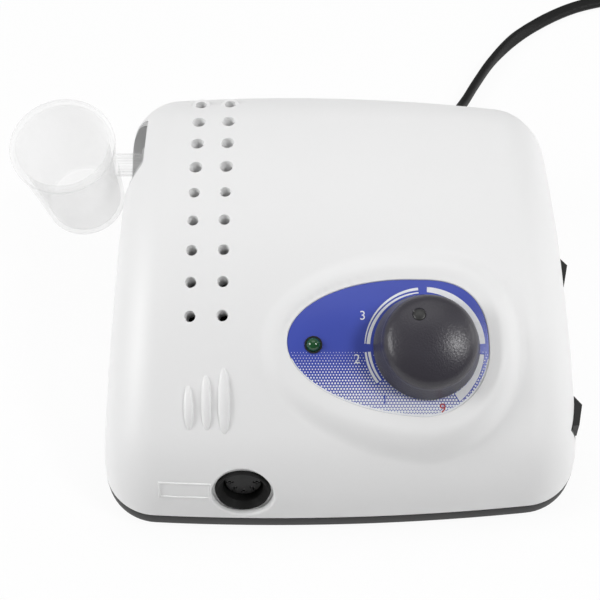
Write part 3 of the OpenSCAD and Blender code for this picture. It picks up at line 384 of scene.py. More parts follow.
def loft(rings, closed=False):
    """Skin over rings of equal length. Unless it closes on itself, its ends are capped."""
    sides = len(rings[0])
    points = [p for ring in rings for p in ring]
    faces = []
    last = len(rings) if closed else len(rings) - 1
    for i in range(last):
        low = i * sides
        high = (i + 1) % len(rings) * sides
        for k in range(sides):
            n = (k + 1) % sides
            faces.append((low + k, low + n, high + n, high + k))
    if not closed:
        start = last * sides
        faces.append(tuple(range(sides - 1, -1, -1)))
        faces.append(tuple(range(start, start + sides)))
    return points, faces


def circle(r, z, sides):
    """Ring about Z, whose height is a number or a function of the angle."""
    turns = np.linspace(0, 2 * math.pi, sides, endpoint=False)
    return [(r * math.cos(t), r * math.sin(t), z(t) if callable(z) else z) for t in turns]


def revolve(profile, sides):
    """Profile of (radius, height) turned about Z. A radius of zero ends in a point."""
    points = []
    faces = []
    rows = []
    for r, z in profile:
        ring = circle(r, z, sides) if r > 1e-6 else [(0.0, 0.0, z)]
        rows.append(list(range(len(points), len(points) + len(ring))))
        points.extend(ring)
    for low, high in zip(rows, rows[1:]):
        for k in range(sides):
            n = (k + 1) % sides
            quad = [low[k % len(low)], low[n % len(low)], high[n % len(high)], high[k % len(high)]]
            face = list(dict.fromkeys(quad))
            if len(face) > 2:
                faces.append(tuple(face))
    for row in (rows[0], rows[-1]):
        if len(row) > 1:
            faces.append(tuple(row))
    return points, faces


def placed(shape, frame, at=(0, 0, 0)):
    """A shape moved by an offset in a local frame, and carried out of that frame."""
    points, faces = shape
    origin, *axes = frame
    local = np.asarray(points, float) + np.asarray(at, float)
    return np.asarray(origin, float) + local @ np.array(axes, float), faces


def joined(shapes):
    """One shape from several."""
    points = []
    faces = []
    for part_points, part_faces in shapes:
        base = len(points)
        points.extend([tuple(p) for p in part_points])
        faces.extend([tuple(base + i for i in f) for f in part_faces])
    return points, faces


def box_shape(low, high):
    (x0, y0, z0), (x1, y1, z1) = low, high
    points = [(x, y, z) for z in (z0, z1) for y in (y0, y1) for x in (x0, x1)]
    return points, [(0, 2, 3, 1), (4, 5, 7, 6), (0, 1, 5, 4), (2, 6, 7, 3), (0, 4, 6, 2), (1, 3, 7, 5)]


def combine(obj, shape, operation, smooth=40, shift=SHIFT):
    """Cuts a shape from an object, or joins it on."""
    tool = mesh_object("tool", shape, shift=shift)
    mod = obj.modifiers.new("combine", "BOOLEAN")
    mod.operation = operation
    mod.solver = "EXACT"
    mod.object = tool
    bpy.context.view_layer.update()
    graph = bpy.context.evaluated_depsgraph_get()
    spent = (obj.data, tool.data)
    new = bpy.data.meshes.new_from_object(obj.evaluated_get(graph))
    obj.modifiers.clear()
    obj.data = new
    bpy.data.objects.remove(tool)
    for mesh in spent:
        bpy.data.meshes.remove(mesh)
    shade(new, smooth)
    return obj


def even_normals(obj):
    mod = obj.modifiers.new("even normals", "WEIGHTED_NORMAL")
    mod.keep_sharp = True
    mod.weight = 80


def soften(obj, width):
    """Rounds the hard edges of an object with a modifier."""
    mod = obj.modifiers.new("soft edges", "BEVEL")
    mod.width = width * MM
    mod.segments = 2
    mod.limit_method = "ANGLE"
    mod.angle_limit = math.radians(35)
    mod.harden_normals = True


# Nodes


def fill(node, values):
    """Sets inputs of a node by their names or numbers."""
    for name, value in values.items():
        node.inputs[name].default_value = value
    return node


def add(tree, kind, values=None, **settings):
    """New node of a tree, with the values of its inputs and its other settings."""
    node = tree.nodes.new(kind)
    for name, value in settings.items():
        setattr(node, name, value)
    return fill(node, values or {})


def wire(tree, *links):
    """Links nodes of a tree: a node with the name or number of its output, then another with its input's."""
    for source, output, target, socket in links:
        tree.links.new(source.outputs[output], target.inputs[socket])


def smooth_by_angle():
    """Node group that shades a mesh smooth, apart from its sharp edges."""
    group = bpy.data.node_groups.new("smooth by angle", "GeometryNodeTree")
    for side in ("INPUT", "OUTPUT"):
        group.interface.new_socket("Geometry", in_out=side, socket_type="NodeSocketGeometry")
    angle = add(group, "GeometryNodeInputMeshEdgeAngle")
    flat = add(group, "FunctionNodeCompare", {1: math.radians(SHARP_ANGLE)}, operation="LESS_THAN")
    faces = add(group, "GeometryNodeSetShadeSmooth", domain="FACE")
    edges = add(group, "GeometryNodeSetShadeSmooth", domain="EDGE")
    wire(group, (angle, "Unsigned Angle", flat, 0), (add(group, "NodeGroupInput"), 0, faces, "Geometry"),
         (faces, "Geometry", edges, "Geometry"), (flat, 0, edges, "Shade Smooth"),
         (edges, "Geometry", add(group, "NodeGroupOutput"), 0))
    return group


# Materials


def rgb(value):
    """Colour from three numbers, or from one grey level."""
    return (*value, 1) if isinstance(value, tuple) else (value, value, value, 1)


def principled(mat):
    return mat.node_tree.nodes["Principled BSDF"]


def noise(mat, scale, detail, stretch=(1, 1, 1)):
    """Noise in the object's own space, with a scale per metre."""
    tree = mat.node_tree
    place = add(tree, "ShaderNodeTexCoord")
    mapping = add(tree, "ShaderNodeMapping", {"Scale": stretch})
    texture = add(tree, "ShaderNodeTexNoise", {"Scale": scale, "Detail": detail})
    wire(tree, (place, "Object", mapping, "Vector"), (mapping, "Vector", texture, "Vector"))
    return texture


def grain(mat, scale, height, strength, detail=2.0):
    """Fine bumps of a height in millimetres."""
    bump = add(mat.node_tree, "ShaderNodeBump", {"Strength": strength, "Distance": height * MM})
    wire(mat.node_tree, (noise(mat, scale, detail), "Fac", bump, "Height"),
         (bump, "Normal", principled(mat), "Normal"))


def vary(mat, socket, stretch, scale, low, high):
    """Slow change of a colour or a number over the surface."""
    ramp = add(mat.node_tree, "ShaderNodeValToRGB")
    for stop, place, value in zip(ramp.color_ramp.elements, (0.3, 0.7), (low, high)):
        stop.position = place
        stop.color = rgb(value)
    wire(mat.node_tree, (noise(mat, scale, 3.0, stretch), "Fac", ramp, "Fac"),
         (ramp, "Color", principled(mat), socket))


def finish(name, colour, rough, tints=None, roughs=None, bumps=None, stretch=(1, 1, 1), metallic=0.0,
           coat=0.0, specular=0.5):
    """Material whose colour and roughness vary between two values, each with a scale, and its fine bumps."""
    mat = bpy.data.materials.new(name)
    mat.use_nodes = True
    fill(principled(mat), {"Base Color": rgb(colour), "Roughness": rough, "Metallic": metallic,
                           "Coat Weight": coat, "Specular IOR Level": specular})
    if tints:
        vary(mat, "Base Color", stretch, *tints)
    if roughs:
        vary(mat, "Roughness", stretch, *roughs)
    if bumps:
        grain(mat, *bumps)
    return mat


def grey_plastic(name, tone):
    return finish(name, tone, 0.55, (60, tone * 0.94, tone * 1.06), None, (1600, 0.02, 0.5), specular=0.35)


def black_plastic(name, rough, tone, specular=0.4):
    return finish(name, tone, rough, (90, tone * 0.9, tone * 1.15), (300, rough * 0.9, rough * 1.15),
                  (2200, 0.01, 0.3), specular=specular)


def metal(name, colour, rough, scale=700, stretch=(1, 1, 8)):
    return finish(name, colour, rough, None, (scale, rough * 0.8, rough * 1.3), stretch=stretch, metallic=1.0)


def rubber(name, tone, rough):
    return finish(name, tone, rough, (80, tone * 0.85, tone * 1.2), None, (1500, 0.02, 0.4), specular=0.3)


def ink(name, colour):
    return finish(name, colour, 0.4, (500, tuple(c * 0.94 for c in colour), colour))


def clear_plastic():
    """Clear plastic that is denser where it is seen at a flat angle."""
    mat = finish("clear plastic", 0.9, 0.2, (60, 0.88, 0.92), (160, 0.16, 0.26))
    weight = add(mat.node_tree, "ShaderNodeLayerWeight", {"Blend": 0.35})
    edge = add(mat.node_tree, "ShaderNodeMapRange", {"To Min": 0.07, "To Max": 0.36})
    wire(mat.node_tree, (weight, "Facing", edge, "Value"), (edge, "Result", principled(mat), "Alpha"))
    return mat


def make_looks():
    """All materials, most of them under the name of their slot."""
    return {
        "white_plastic": finish("white plastic", 0.87, 0.42, (9, 0.862, 0.88), (120, 0.4, 0.47),
                                (1900, 0.012, 0.35), specular=0.45),
        "grey_plastic": grey_plastic("grey plastic", 0.034),
        # Painted shade: this grey stands in for the shade inside the cup's pocket in the left side, on a part
        # that is white plastic like the housing.
        "light_grey_plastic": grey_plastic("grey with painted pocket shade", 0.55),
        "rubber": rubber("foot rubber", 0.02, 0.7),
        "steel": metal("zinc steel", (0.62, 0.62, 0.64), 0.34),
        "aluminium": metal("aluminium", (0.74, 0.74, 0.76), 0.4),
        "blue_panel": finish("panel film", (0.05, 0.078, 0.43), 0.34,
                             (40, (0.047, 0.073, 0.41), (0.053, 0.083, 0.45)), None, (2600, 0.006, 0.3)),
        "black_plastic": black_plastic("black plastic", 0.42, 0.014),
        "black_matte": black_plastic("black matte", 0.5, 0.027),
        "socket_black": black_plastic("socket black", 0.6, 0.008, 0.2),
        "green_lens": finish("green lens", (0.008, 0.07, 0.02), 0.12,
                             (260, (0.006, 0.055, 0.016), (0.012, 0.09, 0.028)), coat=0.4),
        "knob_plastic": finish("knob plastic", (0.041, 0.038, 0.048), 0.33,
                               (70, (0.038, 0.035, 0.044), (0.044, 0.041, 0.052)), None,
                               (1700, 0.1, 0.8, 1.0), specular=0.45),
        "knob_dot": black_plastic("knob dot", 0.36, 0.036),
        # Painted shade: the contacts are tin, made dark here for the shade deep in the socket's openings.
        "contacts": metal("tin darkened with painted shade", (0.2, 0.2, 0.2), 0.5),
        "clear_plastic": clear_plastic(),
        "core_steel": metal("lamination", (0.16, 0.16, 0.17), 0.55, 900, (1, 1, 1)),
        "winding": metal("enamelled copper", (0.5, 0.22, 0.07), 0.35, 1500, (1, 1, 12)),
        "board": finish("solder mask", (0.02, 0.14, 0.06), 0.35,
                        (350, (0.015, 0.11, 0.045), (0.03, 0.18, 0.08)), stretch=(1, 6, 1)),
        "cord_rubber": rubber("lead vinyl", 0.004, 0.58),
        "plug_metal": metal("nickel", (0.8, 0.79, 0.77), 0.18),
        "white_ink": ink("white ink", (0.84, 0.85, 0.88)),
        "red_ink": ink("red ink", (0.42, 0.03, 0.03)),
    }


# Housing surface


FRONT_ANGLE = 180 - FRONT_LEAN
CROWN_ANGLE = 90 + CROWN_SLOPE
TOP_ANGLE = 90 - CROWN_FALL
TAN_FRONT = math.tan(math.radians(FRONT_LEAN))
TAN_REAR = math.tan(math.radians(REAR_DRAFT))
TAN_SIDE = math.tan(math.radians(SIDE_DRAFT))
COS_FRONT = math.cos(math.radians(FRONT_LEAN))
COS_REAR = math.cos(math.radians(REAR_DRAFT))
FRONT_C = np.array([-HALF_D + FRONT_RISE * TAN_FRONT, SEAM_Z + FRONT_RISE]) - FRONT_R * way(FRONT_ANGLE)


def solve_crown():
    """Radius of the crown that ends the profile at the rear seam."""
    slope = np.array([1.0, TAN_REAR])
    start = FRONT_C + FRONT_R * way(CROWN_ANGLE) - REAR_R * (way(TOP_ANGLE) - way(REAR_DRAFT))
    gap = HALF_D - slope @ (start - np.array([0.0, SEAM_Z]))
    return gap / (slope @ (way(TOP_ANGLE) - way(CROWN_ANGLE)))


CROWN_R = solve_crown()
CROWN_C = FRONT_C + (FRONT_R - CROWN_R) * way(CROWN_ANGLE)
REAR_C = CROWN_C + (CROWN_R - REAR_R) * way(TOP_ANGLE)
# Arcs of the middle profile from front to rear: centre, radius, first and last angle
ARCS = ((FRONT_C, FRONT_R, FRONT_ANGLE, CROWN_ANGLE), (CROWN_C, CROWN_R, CROWN_ANGLE, TOP_ANGLE),
        (REAR_C, REAR_R, TOP_ANGLE, REAR_DRAFT))


def bow(x):
    return (x - BOW_X) ** 2 / (2 * BOW_R)


def front_y(inset, z):
    return -HALF_D + inset / COS_FRONT + (z - SEAM_Z) * TAN_FRONT


def rear_y(inset, z):
    return HALF_D - inset / COS_REAR - (z - SEAM_Z) * TAN_REAR


def drafted(x, z):
    return x * (1 - (z - SEAM_Z) * TAN_SIDE / HALF_W)


def crown_z(x, y):
    return CROWN_C[1] + math.sqrt((CROWN_R - bow(x)) ** 2 - (y - CROWN_C[0]) ** 2)


def edge_inset(x):
    """Depth of a section across the housing under the middle profile."""
    over = max(abs(x) - (HALF_W - EDGE_R), 0.0)
    return bow(x) + EDGE_R - math.sqrt(max(EDGE_R ** 2 - over ** 2, 0.0))


def depth(y, z):
    """Depth of a place under the middle profile."""
    reach = 20
    for centre, r, high, low in ARCS:
        arm = np.array([y, z]) - centre
        angle = math.degrees(math.atan2(arm[1], arm[0]))
        if low <= angle <= high and np.linalg.norm(arm) < r + reach:
            return r - np.linalg.norm(arm)
    if y < 0:
        return (y - front_y(0, z)) * COS_FRONT
    return (rear_y(0, z) - y) * COS_REAR


def left_x(y, z):
    """Place of the left surface at a depth and a height."""
    under = depth(y, z)
    if under >= edge_inset(-HALF_W):
        return drafted(-HALF_W, z)
    return drafted(bisect(-HALF_W, BOW_X, lambda x: edge_inset(x) > under), z)


def front_surface_y(x, z):
    """Place of the front surface, away from the soft side edges."""
    inset = bow(x / (1 - (z - SEAM_Z) * TAN_SIDE / HALF_W))
    r = FRONT_R - inset
    if z < FRONT_C[1] + r * math.sin(math.radians(FRONT_ANGLE)):
        return front_y(inset, z)
    return FRONT_C[0] - math.sqrt(r ** 2 - (z - FRONT_C[1]) ** 2)


def frame_on_crown(x, y):
    """Local frame of a place on the crown, with the third axis outwards."""
    z = crown_z(x, y)
    slope_y = -(y - CROWN_C[0]) / (z - CROWN_C[1])
    slope_x = -(CROWN_R - bow(x)) * (x - BOW_X) / BOW_R / (z - CROWN_C[1])
    out = unit(np.array([-slope_x, -slope_y, 1.0]))
    ex = unit(np.array([1.0, 0.0, slope_x]))
    return np.array([x, y, z]), ex, np.cross(out, ex), out


def section_points(inset, low_z, seam_round, counts):
    """One section of the housing from the front seam over the crown to the rear seam."""

    def wall(place, top):
        """Points from the rounded seam edge up a wall."""
        points = []
        for s in SEAM_STEPS:
            z = low_z + seam_round * s
            points.append((place(inset + seam_round * (1 - math.sqrt(1 - (1 - s) ** 2)), z), z))
        for k in range(1, 4):
            z = low_z + seam_round + (top - low_z - seam_round) * k / 4
            points.append((place(inset, z), z))
        return points

    points = wall(front_y, (FRONT_C + (FRONT_R - inset) * way(FRONT_ANGLE))[1])
    for (centre, r, a0, a1), count, skip in zip(ARCS, counts, (0, 1, 1)):
        points += arc(centre, r - inset, a0, a1, count)[skip:]
    return points + wall(rear_y, (REAR_C + (REAR_R - inset) * way(REAR_DRAFT))[1])[::-1]


def section_rows(skin_in, edge_n, middle):
    """Places and depths of the sections across the housing."""
    r = EDGE_R - skin_in
    turns = [90 * k / edge_n for k in range(edge_n + 1)]

    def edge(side, angle):
        s, c = sin_cos(angle)
        x = side * (HALF_W - EDGE_R) + r * s
        return x, bow(x) + skin_in + r * (1 - c)

    left = [edge(-1, angle - 90) for angle in turns]
    return left + [(x, bow(x) + skin_in) for x in middle] + [edge(1, angle) for angle in turns]


def housing_solid(skin_in, low_z, seam_round, edge_n, middle, counts, change=None):
    """Closed skin over the sections of the housing, whose points may be changed first."""
    grid = []
    for x, inset in section_rows(skin_in, edge_n, middle):
        grid.append([(drafted(x, z), y, z) for y, z in section_points(inset, low_z, seam_round, counts)])
    count = len(grid)
    width = len(grid[0])
    points = np.array(grid).reshape(-1, 3)
    faces = []
    for i in range(count - 1):
        for j in range(width - 1):
            a = i * width + j
            faces.append((a, a + 1, a + width + 1, a + width))
    faces.append(tuple(range(width - 1, -1, -1)))
    faces.append(tuple((count - 1) * width + j for j in range(width)))
    under = [i * width for i in range(count)]
    under += [i * width + width - 1 for i in range(count - 1, -1, -1)]
    faces.append(tuple(under))
    return (change(points) if change else points), faces


# Dial panel


TILT_SIN, TILT_COS = sin_cos(PANEL_TILT)
PANEL_O = np.array([*DIAL_AT, crown_z(*DIAL_AT) + PAD_RISE])
PANEL_AXES = np.array([[1.0, 0.0, 0.0], [0.0, TILT_COS, TILT_SIN], [0.0, -TILT_SIN, TILT_COS]])
PANEL_FRAME = (PANEL_O, *PANEL_AXES)


def egg_growth(u, v):
    """How far outside the panel's outline a place lies."""
    x = u - PANEL_MID
    y = v - PANEL_LEAN * np.maximum(0, -x)
    reach = np.where(x > 0, PANEL_RIGHT, PANEL_LEFT)
    power = np.where((x > 0) & (y > 0), PANEL_FULL, 2.0)
    low = np.full(x.shape, 0.5 - PANEL_RIGHT)
    high = np.full(x.shape, 500.0)
    for _ in range(40):
        mid = (low + high) / 2
        inside = np.abs(x / (reach + mid)) ** power + np.abs(y / (PANEL_ROUND + mid)) ** power <= 1
        high = np.where(inside, mid, high)
        low = np.where(inside, low, mid)
    return (low + high) / 2


def egg_ring(grow, w, sides=180):
    """Outline of the panel, with a fuller upper right corner."""
    ring = []
    for k in range(sides):
        s, c = sin_cos(360 * k / sides)
        if s > 0 and c > 0:
            s = s ** (2 / PANEL_FULL)
            c = c ** (2 / PANEL_FULL)
        x = ((PANEL_RIGHT if c > 0 else PANEL_LEFT) + grow) * c
        ring.append((PANEL_MID + x, (PANEL_ROUND + grow) * s + PANEL_LEAN * max(0, -x), w))
    return ring


def raise_pad(points):
    """Lifts the skin to the pad under the dial panel, with a soft crease round it."""
    local = (points - PANEL_O) @ PANEL_AXES.T
    grow = egg_growth(local[:, 0], local[:, 1])
    pad = -PAD_FALL * np.maximum(0, grow - PAD_FLAT) ** PAD_POWER
    skin = local[:, 2]
    gap = np.maximum(PAD_BLEND - np.abs(skin - pad), 0) / PAD_BLEND
    top = np.maximum(skin, pad) + gap ** 2 * PAD_BLEND / 4
    # Under the panel itself the pad is flat
    top = np.where(grow < PAD_FLAT - 1.5, np.maximum(skin, 0), top)
    near = (points[:, 2] > SEAM_Z + 9) & (skin > -25)
    lift = np.where(near, top - skin, 0)
    return points + lift[:, None] * PANEL_AXES[2]


# Cutters with rounded mouths


def mouth(wall_r, fillet):
    """Radius and height of the points of a rounded mouth, from its wall out to the surface."""
    return arc((wall_r + fillet, -fillet), fillet, 180, 104, 5)


def at_vents(profile_of):
    """Turned shapes at all vents, from a profile for the vent's radius."""
    parts = []
    for row in range(VENT_ROWS):
        r = VENT_REAR_R if row < VENT_REAR_ROWS else VENT_FRONT_R
        for column in (0, 1):
            place = frame_on_crown(VENT_AT[0] + column * VENT_PITCH, VENT_AT[1] - row * VENT_PITCH)
            parts.append(placed(revolve(profile_of(r), 40), place))
    return joined(parts)


def vent_collar(r):
    return [(r + VENT_COLLAR_T, -VENT_DEPTH), (r + VENT_COLLAR_T, VENT_COLLAR_TOP)]


def vent_bore(r):
    return [(share * r, z) for share, z in VENT_BORE]


SOCKET_SIN, SOCKET_COS = sin_cos(SOCKET_TILT)
SOCKET_FRAME = (np.array([SOCKET_AT[0], front_surface_y(*SOCKET_AT) + SOCKET_SINK, SOCKET_AT[1]]),
                np.array([1.0, 0.0, 0.0]), np.array([0.0, SOCKET_SIN, SOCKET_COS]),
                np.array([0.0, -SOCKET_COS, SOCKET_SIN]))


def socket_rim(r, turn):
    """Height of the front surface over the socket's plane."""
    origin, ex, ey, ez = SOCKET_FRAME
    base = origin + r * math.cos(turn) * ex + r * math.sin(turn) * ey

    def behind(height):
        x, y, z = base + height * ez
        return y > front_surface_y(x, z)

    return bisect(-6.0, 12.0, behind)


def socket_cutter():
    """Round pocket for the motor socket, with a soft rim that follows the front surface."""
    rings = [circle(SOCKET_POCKET_R, SOCKET_FLOOR, 96)]
    for r, down in mouth(SOCKET_POCKET_R, SOCKET_MOUTH):
        rings.append(circle(r, lambda t: max(socket_rim(r, t) + down, SOCKET_FLOOR + 0.05), 96))
    rings.append([(x, y, z + 6) for x, y, z in rings[-1]])
    return placed(loft(rings), SOCKET_FRAME)


def socket_seat():
    """Solid place behind the front wall, which carries the socket's flange."""
    rings = []
    for r in (0.5, 4.0, 8.0, SOCKET_SEAT_R):
        rings.append(circle(r, lambda t: socket_rim(r, t) - WALL / 2, 72))
    for r in (SOCKET_SEAT_R, 0.5):
        rings.append(circle(r, SOCKET_FLOOR - WALL, 72))
    return placed(loft(rings), SOCKET_FRAME)


def socket_bore():
    r = SOCKET_BARREL_R + FIT
    return placed(revolve([(r, -20), (r, 0)], 64), SOCKET_FRAME)


def cup_pocket_cutter():
    """Round pocket for the cup's peg in the left side, with a soft rim and open at the crown."""
    floor_x = POCKET_X + POCKET_FLOOR
    rings = [[(floor_x, PEG_Y + a, PEG_Z + b) for a, b, _ in circle(POCKET_R, 0, 96)]]
    for r, down in mouth(POCKET_R, POCKET_MOUTH):
        places = [(PEG_Y + a, PEG_Z + b) for a, b, _ in circle(r, 0, 96)]
        rings.append([(min(left_x(y, z) - down, floor_x - 0.02), y, z) for y, z in places])
    rings.append([(x - 25, y, z) for x, y, z in rings[-1]])
    return loft(rings)


def switch_cutters():
    """Openings of the two switches, in frames with the first axis out of the right wall."""
    s, c = sin_cos(SIDE_DRAFT)
    half_l = FRAME_L / 2 + FIT
    half_w = FRAME_W / 2 + FIT
    opening = box_shape((-FRAME_DEPTH, -half_l, -half_w), (5, half_l, half_w))
    parts = []
    for y, z in (POWER_AT, DIRECTION_AT):
        side_x = HALF_W - (z - SEAM_Z) * TAN_SIDE
        parts.append(placed(opening, ((side_x, y, z), (c, 0, s), (0, 1, 0), (-s, 0, c))))
    return joined(parts)


def rear_frame(x, z):
    """Local frame on the rear wall, with the third axis outwards."""
    turn = math.atan((x - BOW_X) / BOW_R)
    s, c = sin_cos(REAR_DRAFT)
    out = np.array([math.sin(turn) * c, math.cos(turn) * c, s])
    across = np.array([math.cos(turn), -math.sin(turn), 0.0])
    return np.array([drafted(x, z), rear_y(bow(x), z), z]), across, np.cross(out, across), out


def rear_cutters():
    return joined([placed(revolve([(r, -8), (r, 8)], 48), rear_frame(*at)) for at, r in REAR_HOLES])


def panel_cutter():
    """Seat of the dial panel, with its soft edge."""
    rings = [egg_ring(PANEL_GAP, -PANEL_SINK - PANEL_T - 0.2)]
    rings += [egg_ring(grow, down) for grow, down in mouth(PANEL_GAP, PANEL_MOUTH)]
    rings.append([(u, v, 6.0) for u, v, _ in rings[-1]])
    return placed(loft(rings), PANEL_FRAME)


def panel_hole_cutters():
    """Holes of the panel for the potentiometer and the lamp."""
    holes = (((0, 0), BUSH_R + FIT), (LED_AT, LED_HOLE_R))
    return joined([placed(revolve([(r, -12), (r, 3)], 48), PANEL_FRAME, (*at, 0)) for at, r in holes])


# Case


def make_housing():
    """White upper shell, with its vents, pockets and seats."""
    wide, narrow = SECTION_STEPS
    end = HALF_W - EDGE_R
    middle = []
    x = -end + wide
    while x < end - wide / 2:
        middle.append(x)
        x += narrow if FINE_FROM < x < FINE_TO else wide
    outer = housing_solid(0, SEAM_Z, SEAM_ROUND, 20, middle, (34, 128, 30), raise_pad)
    body = mesh_object("housing", outer)
    inner = housing_solid(WALL, SEAM_Z - 1, 0.01, 8, np.linspace(-end + 6, end - 6, 20), (8, 20, 10))
    combine(body, inner, "DIFFERENCE")
    for shape in (at_vents(vent_collar), socket_seat()):
        combine(body, shape, "UNION")
    for shape in (panel_cutter(), panel_hole_cutters(), at_vents(vent_bore), socket_cutter(), socket_bore(),
                  cup_pocket_cutter(), switch_cutters(), rear_cutters()):
        combine(body, shape, "DIFFERENCE", 34)
    return body


def make_fins():
    """Three raised fins with blunt ends on the front slope."""
    parts = []
    for x, y, length, width in FINS:
        origin, ex, ey, out = frame_on_crown(x, y)
        rings = []
        for share, lift in FIN_SECTION:
            ring = []
            for k in range(FIN_SIDES):
                s, c = sin_cos(360 * k / FIN_SIDES)
                along = share * length / 2 * s
                side = share * width / 2 * math.copysign(abs(c) ** FIN_BLUNT, c)
                sag = along ** 2 / (2 * CROWN_R)
                rise = lift * (1 - FIN_DROP * (2 * along / length) ** 2) if lift > 0 else lift
                ring.append(origin + side * ex + along * ey + (rise - sag) * out)
            rings.append(ring)
        parts.append(loft(rings))
    return mesh_object("front_fins", joined(parts), 50)


def make_label_frame():
    """Thin raised frame beside the motor socket."""

    def on_front(a, b, lift):
        x = LABEL_AT[0] + a
        r = FRONT_R - bow(x)
        start = math.degrees(math.asin((LABEL_AT[1] - FRONT_C[1]) / r))
        y, z = FRONT_C + (r + lift) * way(180 - start - math.degrees(b / r))
        return drafted(x, z), y, z

    def outline(grow, lift):
        a = LABEL_SIZE[0] / 2 + grow
        b = LABEL_SIZE[1] / 2 + grow
        corners = np.array([(-a, -b), (a, -b), (a, b), (-a, b)])
        ring = []
        for start, end in zip(corners, np.roll(corners, -1, axis=0)):
            for j in range(LABEL_STEPS):
                ring.append(on_front(*(start + (end - start) * j / LABEL_STEPS), lift))
        return ring

    rings = [outline(grow, lift) for grow, lift in LABEL_SECTION]
    return mesh_object("label_frame", loft(rings, closed=True), 60)


def seam_ring(skin_in, z):
    """Outline of the housing at the seam."""
    rows = section_rows(skin_in, 16, np.linspace(-HALF_W + EDGE_R + 3, HALF_W - EDGE_R - 3, 40))
    front = [(x, front_y(inset, SEAM_Z), z) for x, inset in rows]
    return front + [(x, rear_y(inset, SEAM_Z), z) for x, inset in reversed(rows)]


def corner_cylinders(r, low, high):
    """Upright cylinders at the case screws."""
    parts = []
    for sx in (-1, 1):
        for sy in (-1, 1):
            place = ((sx * SCREW_AT[0], sy * SCREW_AT[1], 0), *np.eye(3))
            parts.append(placed(revolve([(r, low), (r, high)], 40), place))
    return joined(parts)


def make_base():
    """Dark base tray with a rounded lower edge, a tongue inside the seam and its screw posts."""
    tongue_top = SEAM_Z + TONGUE_H
    inside = TONGUE_IN + TONGUE_T
    profile = arc((BASE_ROUND, FOOT_H + BASE_ROUND), BASE_ROUND, -90, -180, 5)
    profile += [(0, SEAM_Z - 0.4), (0.12, SEAM_Z - 0.12), (0.4, SEAM_Z), (TONGUE_IN, SEAM_Z),
                (TONGUE_IN, tongue_top), (inside, tongue_top), (inside, FOOT_H + FLOOR_T)]
    base = mesh_object("base", loft([seam_ring(*p) for p in profile]))
    combine(base, corner_cylinders(SCREW_POST_R, FOOT_H + 0.5, POST_TOP), "UNION")
    combine(base, corner_cylinders(SCREW_HEAD_R, FOOT_H - 1, FOOT_H + SCREW_HEAD_SINK), "DIFFERENCE")
    return combine(base, corner_cylinders(SCREW_HOLE_R, FOOT_H, POST_TOP + 2), "DIFFERENCE")


# Panel and its print


def make_panel():
    """Blue film plate with a soft upper edge."""
    section = ((0, -PANEL_T), (0, -0.15), (-0.05, -0.04), (-0.16, 0))
    rings = [egg_ring(grow, -PANEL_SINK + w) for grow, w in section]
    panel = mesh_object("panel", placed(loft(rings), PANEL_FRAME))
    return combine(panel, panel_hole_cutters(), "DIFFERENCE")


def cut_disc(u, v, r, low, high, sides):
    """Printed disc, which ends short of the panel's edge."""
    middle = np.array([u, v])
    ring = middle + np.array(circle(r, 0, sides))[:, :2]
    for _ in range(12):
        over = egg_growth(ring[:, 0], ring[:, 1]) > -PRINT_EDGE
        ring[over] += (middle - ring[over]) * 0.2
    return loft([[(a, b, w) for a, b in ring] for w in (low, high)])


def fade_share(v):
    """How far down the fade a place is, from 0 to 1."""
    return (DOT_START - v) / (PANEL_ROUND + DOT_START)


def print_rim(low, high):
    """White edge of the fade along the panel's lower outline, widest at the bottom."""
    rings = []
    for k, (u, v, _) in enumerate(egg_ring(0.01, low)):
        if v > 2 * DOT_START:
            continue
        a, b, _ = egg_ring(-(0.2 + 0.4 * fade_share(v)), low)[k]
        rings.append([(a, b, low), (u, v, low), (u, v, high), (a, b, high)])
    return loft(rings)


def make_dots():
    """White dots of the film's fade, which grow towards the lower edge of the panel."""
    high = -PANEL_SINK + PRINT_T
    left = -PANEL_LEFT - 3
    rows = np.arange(DOT_START, -PANEL_ROUND, -DOT_ROW)
    places = np.array([(u, v) for row, v in enumerate(rows)
                       for u in np.arange(left + row % 2 * DOT_PITCH / 2, PANEL_ROUND, DOT_PITCH)])
    room = -egg_growth(places[:, 0], places[:, 1])
    parts = []
    for (u, v), free in zip(places, room):
        under_knob = math.hypot(u, v) < KNOB_R - 2
        at_lamp = math.hypot(u - LED_AT[0], v - LED_AT[1]) < LED_R + 0.9
        if free < PRINT_EDGE + 0.08 or under_knob or at_lamp:
            continue
        r = DOT_R + DOT_GROWTH * fade_share(v) ** DOT_POWER
        parts.append(cut_disc(u, v, r, PRINT_FOOT, high, 8))
    parts.append(print_rim(PRINT_FOOT, high - 0.5 * PRINT_T))
    return mesh_object("panel_dots", placed(joined(parts), PANEL_FRAME))


def arc_band(knots, low, high):
    """Flat band in the panel's plane, whose inner and outer radius change along it."""
    angles, inner, outer = np.array(knots).T
    count = int((angles[-1] - angles[0]) / 2)
    rings = []
    for angle in np.linspace(angles[0], angles[-1], count + 1):
        a = np.interp(angle, angles, inner) * way(angle)
        b = np.interp(angle, angles, outer) * way(angle)
        rings.append([(*a, low), (*b, low), (*b, high), (*a, high)])
    return loft(rings)


def make_bands(name, bands, top):
    """Printed arcs round the knob."""
    arcs = joined([arc_band(knots, PRINT_FOOT, top) for knots in bands])
    return mesh_object(name, placed(arcs, PANEL_FRAME))


def make_numeral(name, text, u, v):
    """Plain numeral printed on the panel."""
    curve = bpy.data.curves.new(name, "FONT")
    curve.body = text
    curve.align_x = "CENTER"
    curve.align_y = "CENTER"
    curve.size = NUMERAL_H / FONT_SHARE
    curve.extrude = PRINT_T
    letter = linked(name, curve)
    bpy.context.view_layer.update()
    graph = bpy.context.evaluated_depsgraph_get()
    mesh = bpy.data.meshes.new_from_object(letter.evaluated_get(graph))
    shape = ([tuple(p.co) for p in mesh.vertices], [tuple(p.vertices) for p in mesh.polygons])
    bpy.data.objects.remove(letter)
    bpy.data.curves.remove(curve)
    bpy.data.meshes.remove(mesh)
    return mesh_object(name, placed(shape, PANEL_FRAME, (u, v, PRINT_T - PANEL_SINK)))


# Knob


